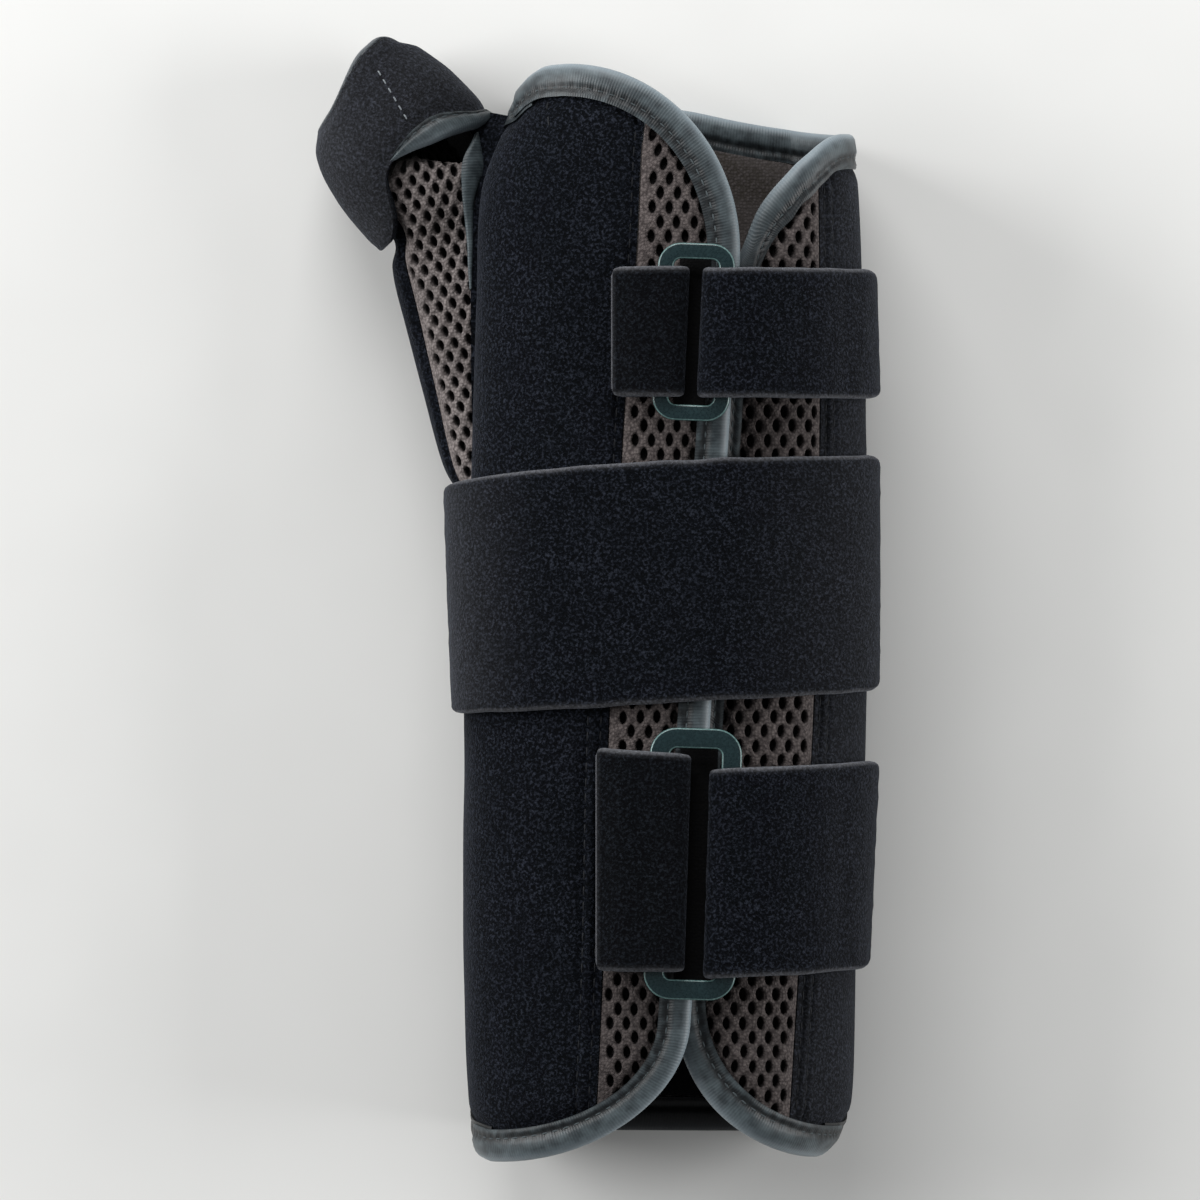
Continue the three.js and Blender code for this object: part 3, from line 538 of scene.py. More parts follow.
@dataclass(frozen=True)
class LoopPile(Finish):
    """Brushed nylon loop on foam: matt, near black, paler where the pile is seen edge on or is cut, and where
    painted sheen is marked.
    """

    name: str = "brushed_nylon_loop"
    deep: str = "#010204"
    pile: str = "#06090f"
    tip: str = "#30343e"
    # The paler colour of cut edges, also used for painted sheen.
    cut: str = "#85868b"
    sheen_tint: str = "#a8b0c2"
    loop_mm: float = 0.55
    cloud_mm: float = 9.0

    def shade(self, nodes: Nodes) -> Socket:
        """Curled loops with light tips, soft clouds of tone, and a paler colour where the edge mark is given:
        the cut edge, and painted sheen.
        """
        loops = nodes.noise(self.loop_mm, 2.5, Roughness=0.6, Distortion=0.4)
        drift = nodes.spread(nodes.noise(self.cloud_mm, 2.0), 0.3, 0.7, 0.6)
        body = nodes.blend(nodes.spread(loops, 0.36, 0.56), self.deep, self.pile)
        lit = nodes.join("MULTIPLY", nodes.spread(loops, 0.5, 0.72, 0, 0.8), drift)
        # The edge mark: paler cut edges, and painted sheen where the pieces draw the pile paler.
        fray_and_painted_sheen = nodes.join("MULTIPLY", nodes.mark("edge"), loops)
        colour = nodes.blend(fray_and_painted_sheen, nodes.blend(lit, body, self.tip), self.cut)
        return nodes.surface(
            colour, 0.95, Specular_IOR_Level=0.08, Sheen_Weight=0.18, Sheen_Roughness=0.3,
            Sheen_Tint=self.sheen_tint, Normal=nodes.relief(loops, 0.7, 0.45))


@dataclass(frozen=True)
class SpacerMesh(Finish):
    """Polyester spacer mesh: brown-grey knitted webs round open holes, with painted shade down inside them.
    """

    name: str = "polyester_spacer_mesh"
    web: str = "#6b6361"
    valley: str = "#2a2424"
    # The colour that the painted shade in the holes goes to.
    hole: str = "#080405"
    yarn_mm: float = 0.62
    shade_mm: float = 14.0

    def shade(self, nodes: Nodes) -> Socket:
        """Twisted yarn on the webs, and painted shade from the pit mark: dark down in the holes, and wherever
        a piece shades its mesh.
        """
        yarn = nodes.cells(self.yarn_mm, 0.8)
        fibre = nodes.noise(self.yarn_mm / 2, 2.0)
        tone_and_painted_shade = nodes.spread(nodes.noise(self.shade_mm, 2.0), 0.35, 0.75, 0, 0.4)
        webs = nodes.blend(nodes.spread(yarn, 0.1, 0.75, 0, 0.85), self.web, self.valley)
        colour = nodes.blend(nodes.mark("pit"), nodes.blend(tone_and_painted_shade, webs, self.valley), self.hole)
        relief = nodes.relief(nodes.join("SUBTRACT", fibre, yarn), 0.7, 0.3)
        return nodes.surface(colour, 0.8, Specular_IOR_Level=0.25, Normal=relief)


@dataclass(frozen=True)
class SatinTape(Finish):
    """Woven polyester edge tape: grey-green, soft satin gloss and fine ribs across, with a painted highlight
    along the rolled rim and painted shade along the stitching.
    """

    name: str = "satin_polyester_tape"
    bright: str = "#4c565a"
    dull: str = "#272e32"
    # Painted shade: the colour that the prick mark draws in the stitch groove and over the tape's inner half.
    stitched: str = "#0e1215"
    # Painted highlight: the colour that the rim mark draws along the rolled edge.
    rim_highlight: str = "#87939a"
    rib_mm: float = 0.55
    rub_mm: float = 3.2

    def shade(self, nodes: Nodes) -> Socket:
        """Ribs across the tape, duller patches, painted shade from the prick mark along the stitching, and a
        painted highlight from the rim mark.
        """
        ribs = nodes.ribs(self.rib_mm)
        patch = nodes.spread(nodes.noise(self.rub_mm, 4.0, Roughness=0.6), 0.35, 0.7)
        dulled = nodes.join("ADD", patch, nodes.spread(ribs, 0, 1, 0, 0.25), True)
        cloth = nodes.blend(dulled, self.bright, self.dull)
        sewn = nodes.blend(nodes.mark("prick"), cloth, self.stitched)
        colour = nodes.blend(nodes.mark("rim"), sewn, self.rim_highlight)
        return nodes.surface(colour, 0.46, Specular_IOR_Level=0.4, Normal=nodes.relief(ribs, 0.3, 0.1))


@dataclass(frozen=True)
class KnitLining(Finish):
    """Warp-knitted lining: brown-grey, matt, with fine columns of stitches along the sleeve."""

    name: str = "warp_knit_lining"
    face: str = "#524d4d"
    back: str = "#37332f"
    wale_mm: float = 0.6
    shade_mm: float = 12.0

    def shade(self, nodes: Nodes) -> Socket:
        """Fine knitted columns with soft uneven tone."""
        wales = nodes.cells(self.wale_mm, 0.6)
        knit = nodes.join("MULTIPLY", wales, nodes.noise(self.shade_mm, 3.0))
        colour = nodes.blend(nodes.spread(knit, 0.02, 0.4), self.face, self.back)
        relief = nodes.relief(wales, 0.5, 0.25, True)
        return nodes.surface(colour, 0.9, Specular_IOR_Level=0.2, Normal=relief)


@dataclass(frozen=True)
class MouldedPlastic(Finish):
    """Moulded acetal: dark teal, smooth with a faint orange-peel skin and fine scuffs; a paler copy is
    painted highlight on slanted bevels.
    """

    name: str = "moulded_acetal"
    body: str = "#132427"
    scuffed: str = "#1f3437"
    skin_mm: float = 1.6
    scuff_mm: float = 0.5

    def shade(self, nodes: Nodes) -> Socket:
        """A soft gloss with fine scuffs."""
        skin = nodes.noise(self.skin_mm, 1.0)
        scuff = nodes.noise(self.scuff_mm, 4.0, Roughness=0.7)
        colour = nodes.blend(nodes.spread(scuff, 0.5, 0.75), self.body, self.scuffed)
        gloss = nodes.spread(scuff, 0, 1, 0.2, 0.36)
        return nodes.surface(colour, gloss, IOR=1.48, Normal=nodes.relief(skin, 0.15, 0.05))


@dataclass(frozen=True)
class Thread(Finish):
    """Twisted polyester sewing thread with a slight gloss."""

    name: str
    colour: str
    lit: str
    ply_mm: float = 0.4

    def shade(self, nodes: Nodes) -> Socket:
        """Plies that turn round the thread."""
        ply = nodes.noise(self.ply_mm, 1.0)
        colour = nodes.blend(ply, self.colour, self.lit)
        return nodes.surface(colour, 0.7, Specular_IOR_Level=0.25, Normal=nodes.relief(ply, 0.4, 0.1))


@dataclass(frozen=True)
class PaleFloor(Finish):
    """Plain painted studio floor: pale, even and matt."""

    name: str = "painted_floor"
    paint: str = "#e4e4e2"
    grain: str = "#dcdcda"
    grain_mm: float = 40.0

    def shade(self, nodes: Nodes) -> Socket:
        """Even paint with a trace of tone."""
        colour = nodes.blend(nodes.noise(self.grain_mm, 2.0), self.paint, self.grain)
        return nodes.surface(colour, 0.7, Specular_IOR_Level=0.2)


LOOP, TAPE, LINING = LoopPile(), SatinTape(), KnitLining()
TAB_LOOP = LoopPile("brushed_nylon_loop_dark", "#010103", "#040609", "#1f232a")
MESH = SpacerMesh()
# Painted light: a paler copy of the mesh for the thumb, which faces the light.
THUMB_MESH = SpacerMesh("polyester_spacer_mesh_painted_light", "#928a88", "#443d3c")
# Painted shade: near-black knit put inside the brace where it lies in shade.
SHADE_KNIT = KnitLining("black_knit_painted_shade", "#08090b", "#030304")
DARK_TAPE = SatinTape("satin_polyester_tape_dark", "#2a2f34", "#15191c", "#090b0d", "#454b50")
# Painted shade: a near-black copy of the tape for the back's forearm end, which lies in shade.
SHADE_TAPE = SatinTape("satin_polyester_tape_painted_shade", "#15181b", "#0b0d0f", "#050607", "#2a2e32")
PLASTIC = MouldedPlastic()
# Painted highlight: a paler copy of the plastic for the ring's slanted bevel faces.
BEVEL_HIGHLIGHT_PLASTIC = MouldedPlastic("moulded_acetal_bevel_highlight", "#4f6a69", "#7c9795")
DARK_THREAD = Thread("polyester_thread_dark", "#07090c", "#171a20")
GREY_THREAD = Thread("polyester_thread_grey", "#30373a", "#4d5558")
PALE_THREAD = Thread("polyester_thread_pale", "#5f6468", "#7c8185")


@dataclass
class Shape:
    """Points and faces of a piece in millimetres, its places on the flat pattern, and its marks."""

    points: Array
    faces: list[Sequence[int]]
    pattern: Optional[Array] = None
    marks: dict[str, Array] = field(default_factory=dict)
    inner: Optional[Array] = None


def settle(piece: Piece, angle: float = 50.0) -> None:
    """Turns a piece's faces outwards and smooths it, as the only selected object."""
    bpy.ops.object.select_all(action="DESELECT")
    piece.select_set(True)
    bpy.context.view_layer.objects.active = piece
    bpy.ops.object.mode_set(mode="EDIT")
    bpy.ops.mesh.select_all(action="SELECT")
    bpy.ops.mesh.normals_make_consistent(inside=False)
    bpy.ops.object.mode_set(mode="OBJECT")
    bpy.ops.object.shade_smooth_by_angle(angle=math.radians(angle))


def dress(piece: Piece, slot: Slot, replaces: Sequence[str]) -> None:
    """Puts a finished piece on the frame.

    Args:
        piece: the piece, in place.
        slot: the record's slot that its finish stands for; not used.
        replaces: the frame's nodes that it stands for.
    """
    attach(piece, BODY)
    if replaces:
        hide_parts(*replaces)
    LOG.info("%s: %d faces", piece.name, len(piece.data.polygons))


def make_piece(name: str, shape: Shape, finishes: Sequence[Finish], slot: Slot,
               replaces: Sequence[str] = ()) -> Piece:
    """Makes a mesh piece from a shape.

    Args:
        name: the piece's name.
        shape: its points, faces, pattern and marks.
        finishes: the outer finish, then that of its inner faces if it has one.
        slot: the record's slot.
        replaces: the frame's nodes that it stands for.

    Returns:
        The piece, in place and on the frame.
    """
    name = f"{name}_cloth" if replaces else name
    mesh = bpy.data.meshes.new(name)
    mesh.from_pydata((shape.points * MM).tolist(), [], [[int(i) for i in f] for f in shape.faces])
    for finish in finishes:
        mesh.materials.append(finish.material())
    if shape.inner is not None:
        mesh.polygons.foreach_set("material_index", shape.inner.astype(np.int32))
    if shape.pattern is not None:
        corners = np.zeros(len(mesh.loops), np.int32)
        mesh.loops.foreach_get("vertex_index", corners)
        cut = mesh.uv_layers.new(name="pattern")
        cut.data.foreach_set("uv", (shape.pattern * MM)[corners].astype(np.float32).ravel())
    for mark, values in shape.marks.items():
        layer = mesh.attributes.new(mark, "FLOAT", "POINT")
        layer.data.foreach_set("value", np.asarray(values, np.float32).ravel())
    piece = bpy.data.objects.new(name, mesh)
    bpy.context.scene.collection.objects.link(piece)
    settle(piece)
    dress(piece, slot, replaces)
    return piece


def make_padded(name: str, shape: Shape, finishes: Sequence[Finish], slot: Slot) -> None:
    """Makes a padded piece that stands for the node of its name."""
    make_piece(name, shape, finishes, slot, [name])


def block(outer: Array, inner: Array, pattern: Array, marks: dict[str, Array]) -> Shape:
    """Closed padded panel between an outer and an inner face.

    Args:
        outer: points of the outer face, shape (rows, columns, 3).
        inner: points of the inner face, same shape.
        pattern: places on the flat pattern, shape (rows, columns, 2).
        marks: named values, shape (rows, columns), for both faces.

    Returns:
        The shape, with its inner faces marked.
    """
    rows, columns = outer.shape[:2]
    count = rows * columns
    at = np.arange(count).reshape(rows, columns)
    quads = np.stack([at[:-1, :-1], at[:-1, 1:], at[1:, 1:], at[1:, :-1]], -1).reshape(-1, 4)
    rim = np.concatenate([at[0, :], at[1:, -1], at[-1, -2::-1], at[-2:0:-1, 0]])
    after = np.roll(rim, -1)
    walls = np.stack([rim, rim + count, after + count, after], -1)
    faces = np.concatenate([quads, quads[:, ::-1] + count, walls])
    inside = np.zeros(len(faces))
    inside[len(quads):2 * len(quads)] = 1
    points = np.concatenate([outer.reshape(-1, 3), inner.reshape(-1, 3)])
    both = {k: np.concatenate([v.ravel(), v.ravel()]) for k, v in marks.items()}
    flat = pattern.reshape(-1, 2)
    return Shape(points, faces.tolist(), np.concatenate([flat, flat]), both, inside)


def hoops(at: Array, ahead: Array) -> Array:
    """Quads between rings of point numbers and the rings ahead of them."""
    return np.stack([at, np.roll(at, -1, 1), np.roll(ahead, -1, 1), ahead], -1).reshape(-1, 4)


def sweep(rings: Array, pattern: Array, marks: dict[str, Array], closed: bool) -> Shape:
    """Closed body from rings of points one after the other.

    Args:
        rings: points, shape (rings, points of a ring, 3).
        pattern: places on the flat pattern, shape (rings, points of a ring, 2).
        marks: named values, shape (rings, points of a ring).
        closed: the last ring joins the first, or else both ends are capped.

    Returns:
        The shape.
    """
    along, around = rings.shape[:2]
    at = np.arange(along * around).reshape(along, around)
    ahead = np.roll(at, -1, axis=0)
    if not closed:
        at, ahead = at[:-1], ahead[:-1]
    faces = hoops(at, ahead).tolist()
    if not closed:
        half = around // 2
        for first, way in ((0, 1), ((along - 1) * around, -1)):
            for i in range(half - 1):
                ends = (i, i + 1, around - 2 - i, around - 1 - i)
                faces.append([first + e for e in ends[::way]])
    flat = {k: v.ravel() for k, v in marks.items()}
    return Shape(rings.reshape(-1, 3), faces, pattern.reshape(-1, 2), flat)


def spaced(length: float, step: float, edges: Sequence[float]) -> Array:
    """Places along a length: close together at both edges, and then evenly about a step apart."""
    inner = length - 2 * edges[-1]
    count = max(int(round(inner / step)), 1)
    middle = edges[-1] + inner * np.arange(1, count) / count
    near = np.array(edges, float)
    return np.concatenate([near, middle, length - near[::-1]])


def inside(points: Array, outline: Array) -> Array:
    """Which points lie inside a closed outline, both flat."""
    x, y = points[:, [0]], points[:, [1]]
    x0, y0 = outline[:, 0], outline[:, 1]
    x1, y1 = np.roll(x0, -1), np.roll(y0, -1)
    crosses = (y0 > y) != (y1 > y)
    rise = np.where(y1 == y0, 1, y1 - y0)
    return ((crosses & (x < x0 + (x1 - x0) * (y - y0) / rise)).sum(1) % 2).astype(bool)


def triangles(points: Array, loops: Sequence[Sequence[int]]) -> Array:
    """Fills flat points with triangles that keep to the given loops."""
    edges = [(int(a), int(b)) for loop in loops for a, b in zip(loop, np.roll(loop, -1))]
    filled = delaunay_2d_cdt([Vector(p) for p in points.tolist()], edges, [], 0, 1e-6)
    first = [origin[0] if origin else -1 for origin in filled[3]]
    found = np.array([[first[i] for i in face] for face in filled[2]])
    return found[(found >= 0).all(1)]


@dataclass(frozen=True)
class MeshKnit:
    """Spacer mesh as it is knitted: webs round staggered long holes, on a closed lower face."""

    across: float = 3.2
    along: float = 2.75
    hole: Span = (0.75, 1.26)
    jitter: float = 0.12
    margin: float = 0.3
    corners: int = 10
    seed: int = 5
    scales: tuple[float, ...] = (1.3, 1.05, 0.9, 0.8)
    drops: tuple[float, ...] = (0.0, 0.25, 0.9, 1.5)
    # Painted shade down in the holes: how dark each ring of a hole is drawn, darker the deeper it lies.
    darks: tuple[float, ...] = (0.2, 0.5, 0.9, 1.0)
    knot: float = 0.3
    knot_room: float = 0.9
    floor_step: float = 4.0

    def cut(self, outline: Array, place: OfTwo,
            heights: Callable[[Array], Pair], shaded: Optional[Of] = None) -> Shape:
        """Cuts a piece of the mesh.

        Args:
            outline: its outline on the flat pattern, shape (points, 2).
            place: puts flat places at heights in the sleeve.
            heights: heights of the mesh's outer and inner face at flat places.
            shaded: painted shade on the mesh at flat places, added to the pit mark.

        Returns:
            The shape.
        """
        turn = 2 * math.pi * np.arange(self.corners) / self.corners
        slim = np.cos(turn) * (1 - 0.16 * np.sin(turn) ** 2)
        ring = pairs(slim * self.hole[0], np.sin(turn) * self.hole[1])
        centres = self._holes(outline, ring)
        loops = centres[:, None, :] + ring[None] * self.scales[0]
        edge = len(outline)
        knots = self._knots(outline)
        flat = np.concatenate([outline, loops.reshape(-1, 2), knots])
        numbers = edge + np.arange(len(centres) * self.corners).reshape(-1, self.corners)
        faces = triangles(flat, [np.arange(edge), *numbers])
        faces = faces[inside(flat[faces].mean(1), outline)]
        owner = -1 - np.arange(len(flat))
        owner[numbers] = np.arange(len(centres))[:, None]
        faces = faces[~(owner[faces] == owner[faces[:, [0]]]).all(1)]
        made = [list(f) for f in faces]
        raised = np.where(np.arange(len(flat)) >= len(flat) - len(knots), self.knot, 0)
        rims = np.where(owner >= 0, self.darks[0], 0)
        high, darks, all_flat = [heights(flat)[0] + raised], [rims], [flat]
        count, last = len(flat), numbers
        for scale, drop, dark in zip(self.scales[1:], self.drops[1:], self.darks[1:]):
            lower = (centres[:, None, :] + ring[None] * scale).reshape(-1, 2)
            here = count + np.arange(len(lower)).reshape(-1, self.corners)
            made.extend(hoops(last, here).tolist())
            all_flat.append(lower)
            high.append(heights(lower)[0] - drop)
            darks.append(np.full(len(lower), dark))
            count, last = count + len(lower), here
        made.extend(last.tolist())
        lattice = self._lattice(outline, self.floor_step, self.floor_step)
        base = np.concatenate([outline, lattice[inside(lattice, outline)]])
        under = triangles(base, [np.arange(edge)])
        under = under[inside(base[under].mean(1), outline)] + count
        upper_count = len(made)
        made.extend(under.tolist())
        lower_count = len(made)
        rim = np.arange(edge)
        after = np.roll(rim, -1)
        made.extend(np.stack([rim, after, after + count, rim + count], -1).tolist())
        all_flat.append(base)
        high.append(heights(base)[1])
        darks.append(np.zeros(len(base)))
        where = np.concatenate(all_flat)
        inner = np.zeros(len(made))
        inner[upper_count:lower_count] = 1
        # The pit mark is painted shade: darker down in the holes, and as much as shaded gives elsewhere.
        marks = {"pit": np.concatenate(darks)}
        if shaded:
            marks["pit"] = np.maximum(marks["pit"], shaded(where))
        return Shape(place(where, np.concatenate(high)), made, where, marks, inner)

    def _lattice(self, outline: Array, across: float, along: float) -> Array:
        """Staggered places over an outline's box."""
        low, high = outline.min(0), outline.max(0)
        rows = np.arange(math.floor(low[1] / along), math.ceil(high[1] / along) + 1)
        columns = np.arange(math.floor(low[0] / across) - 1, math.ceil(high[0] / across) + 1)
        column, row = np.meshgrid(columns, rows)
        return pairs((column + 0.5 * (row % 2)) * across, row * along).reshape(-1, 2)

    def _knots(self, outline: Array) -> Array:
        """Middles of the webs between neighbouring holes, a little inside the outline."""
        knots = self._lattice(outline, self.across, self.along) + (self.across / 2, 0)
        clear = np.ones(len(knots), bool)
        for offset in ((1, 0), (-1, 0), (0, 1), (0, -1)):
            clear &= inside(knots + np.array(offset) * self.knot_room, outline)
        return knots[clear]

    def _holes(self, outline: Array, ring: Array) -> Array:
        """Centres of the holes that lie whole inside the outline."""
        centres = self._lattice(outline, self.across, self.along)
        draw = np.random.default_rng(self.seed)
        centres = centres + draw.uniform(-self.jitter, self.jitter, centres.shape)
        room = self.scales[0] + self.margin / self.hole[0]
        whole = np.ones(len(centres), bool)
        for offset in ring * room:
            whole &= inside(centres + offset, outline)
        return centres[whole]


@dataclass(frozen=True)
class TapeFold:
    """Edge tape folded over a fabric edge: a soft roll, a stitched groove and a flat lip."""

    width: float = 6.2
    wall: float = 2.6
    stand: float = 0.2
    cloth: float = 0.45
    nose: float = 2.1
    groove_at: float = 1.75
    groove: float = 0.36
    groove_reach: float = 0.8
    bulge: float = 0.16
    lip: float = 0.1
    # Width of the painted highlight along the rolled edge.
    rim: float = 0.95
    pitch: float = 2.3
    prick: float = 0.5
    step: float = 0.6
    nose_turns: int = 8

    def profile(self) -> tuple[Array, Array, Array]:
        """Inset, height and groove share of the fold's section, all round it."""
        top = np.array([0, 0.25, 0.55, 0.9, 1.25, 1.6, 2.0, 2.5, 3.1])
        top = self.width - top[top < self.width - self.nose - 0.2]
        turn = np.radians(np.linspace(84, -84, self.nose_turns))
        half, middle = self.wall / 2 + self.stand, -self.wall / 2
        grooved = bell(top - self.width + self.groove_at, self.groove_reach)
        roll = np.sin(math.pi * np.clip((top - self.nose) / (self.width - self.groove_at - self.nose), 0, 1))
        swell = self.bulge * roll - self.lip * (top > self.width - 0.5)
        inset, height = [], []
        for thick, nose in ((half, self.nose), (half - self.cloth, self.nose - self.cloth)):
            inset += [top, self.nose - nose * np.cos(turn), top[::-1]]
            height += [middle + thick + swell, middle + thick * np.sin(turn), (middle - thick - swell)[::-1]]
        share = np.concatenate([grooved, 0 * turn, grooved[::-1]])
        count = len(share)
        inset, height = np.concatenate(inset), np.concatenate(height)
        inset[count:], height[count:] = inset[count:][::-1].copy(), height[count:][::-1].copy()
        return inset, height, np.concatenate([share, share[::-1]])

    def flat_width(self) -> float:
        """Width of the tape before it was folded, in metres."""
        inset, height, _ = self.profile()
        half = len(inset) // 2
        return float(np.hypot(np.diff(inset[:half]), np.diff(height[:half])).sum()) * MM

    def fold(self, place: Place, closed: bool) -> tuple[Shape, Array, Array]:
        """Folds the tape along a run.

        Args:
            place: puts (share of the run, inset, height) in the sleeve.
            closed: the run is a hoop.

        Returns:
            The shape, and points and normals of its stitch line.
        """
        share = np.linspace(0, 1, 400)
        line = place(share[:, None], np.full((1, 1), self.width / 2), np.zeros((1, 1)))[:, 0]
        length = measured(line)
        count = max(int(length[-1] / self.step), 8)
        run = np.linspace(0, length[-1], count + 1)
        if closed:
            run = run[:-1]
        at = np.interp(run, length, share)[:, None]
        inset, height, grooved = self.profile()
        stitches = max(round(length[-1] / self.pitch), 1)
        phase = (run / length[-1] * stitches) % 1 - 0.5
        pull = bell(phase * self.pitch, self.prick)[:, None]
        depth = self.groove * grooved * (0.55 + 0.6 * pull) * np.where(height > -self.wall / 2, 1, -1)
        puff = 0.05 * ripple(pairs(run, 0), 4.0, 3)[:, None] * (grooved < 0.3)
        rings = place(at, inset[None], height[None] - depth + puff)
        pattern = pairs(inset[None], run[:, None])
        speck = 0.5 + 0.5 * ripple(pattern, 0.9, 13)
        # Painted shade: the prick mark darkens the stitch groove and the tape's inner half, with random
        # specks.
        sewn = smooth(inset, 0.42 * self.width, 0.78 * self.width)
        dark = grooved * (0.5 + 0.45 * pull + 0.35 * speck) + 0.8 * sewn * (0.3 + 0.7 * speck)
        # Painted highlight: the rim mark lightens the outer face along the rolled edge, on its upper half
        # only.
        rim = bell(inset, self.rim) * (np.arange(len(inset)) < len(inset) / 2)
        marks = {"prick": np.clip(dark, 0, 1), "rim": np.broadcast_to(0.8 * rim[None], dark.shape)}
        seam = np.full((1, 1), self.width - self.groove_at)
        low = place(at, seam, np.full((1, 1), self.stand - self.groove))[:, 0]
        high = place(at, seam, np.full((1, 1), self.stand + 1 - self.groove))[:, 0]
        return sweep(rings, pattern, marks, closed), low, high - low

    def flat(self, line: Array) -> Span:
        """Flat width and length of the tape along a line, in metres."""
        return self.flat_width(), float(measured(line)[-1]) * MM


@dataclass
class Stitching:
    """Rows of sewn stitches, gathered and made as one piece."""

    name: str
    finish: Finish
    slot: Slot
    sides: int = 6
    points: list[Array] = field(default_factory=list)

    def run(self, line: Array, normals: Array, pitch: float = 2.9, length: float = 2.1,
            thick: float = 0.2, sink: float = 0.0) -> None:
        """Sews along a line.

        Args:
            line: points of the line, shape (points, 3).
            normals: outward directions there.
            pitch: from stitch to stitch.
            length: of one stitch.
            thick: half the thread's thickness.
            sink: how far the thread lies below the line.
        """
        along = measured(line)
        count = max(int(along[-1] / pitch), 1)
        middles = (np.arange(count) + 0.5) * along[-1] / count
        shares = np.array([-1, -0.8, 0, 0.8, 1]) * length / 2
        girth = np.array([0.3, 0.85, 1, 0.85, 0.3]) * thick
        lifts = np.array([-1.3, -0.1, 0.35, -0.1, -1.3]) * thick - sink
        normals = normals / np.linalg.norm(normals, axis=1)[:, None]
        where = np.clip(middles[:, None] + shares[None], 0, along[-1])
        middle = between(where, along, line)
        up = between(middles, along, normals)
        way = middle[:, -1] - middle[:, 0]
        way /= np.linalg.norm(way, axis=1)[:, None]
        across = np.cross(way, up)
        turn = 2 * math.pi * np.arange(self.sides) / self.sides
        side = across[:, None, None] * np.cos(turn)[None, None, :, None]
        rise = up[:, None, None] * np.sin(turn)[None, None, :, None]
        ring = (side + rise) * girth[None, :, None, None]
        self.points.append((middle + up[:, None] * lifts[None, :, None])[:, :, None] + ring)

    def make(self) -> Piece:
        """Makes the piece from all its stitches."""
        points = np.concatenate(self.points)
        count, rings, sides = points.shape[:3]
        at = np.arange(rings * sides).reshape(rings, sides)
        one = hoops(at[:-1], at[1:])
        faces: list[Sequence[int]] = []
        for i in range(count):
            first = i * rings * sides
            faces.extend((one + first).tolist())
            faces.append((at[0] + first).tolist())
            faces.append((at[-1, ::-1] + first).tolist())
        return make_piece(self.name, Shape(points.reshape(-1, 3), faces), [self.finish], self.slot)


@dataclass(frozen=True)
class Padding:
    """Foam-backed fabric: it is pinched along its seams and swells a little between them."""

    wall: float = 2.6
    pinch: float = 0.95
    reach: float = 1.6
    swell: float = 0.1
    uneven: float = 0.09
    lump: float = 11.0
    seed: int = 1

    def heights(self, seam: Array, flat: Array) -> Pair:
        """Heights of both faces above the form.

        Args:
            seam: distance to the nearest seam or tape, below 0 under the tape.
            flat: places on the flat pattern.

        Returns:
            Heights of the outer face and of the inner face.
        """
        away = np.maximum(seam, 0)
        near = bell(away, self.reach)
        far = 1 - bell(away, 4 * self.reach)
        outer = far * (self.swell + self.uneven * ripple(flat, self.lump, self.seed)) - self.pinch * near
        return outer, 0.5 * near - self.wall


UNDER_TAPE = 2.6
SEAM = 0.15
FOLD = TapeFold()
KNIT = MeshKnit()
THUMB_KNIT = MeshKnit(across=2.75, along=2.45, hole=(0.66, 1.1), knot_room=0.75)
CLOSE_EDGES = (0.0, 0.3, 0.7, 1.05, 1.4, 1.75, 2.1, 2.5, 2.9, 3.3, 3.7, 4.1, 4.6)


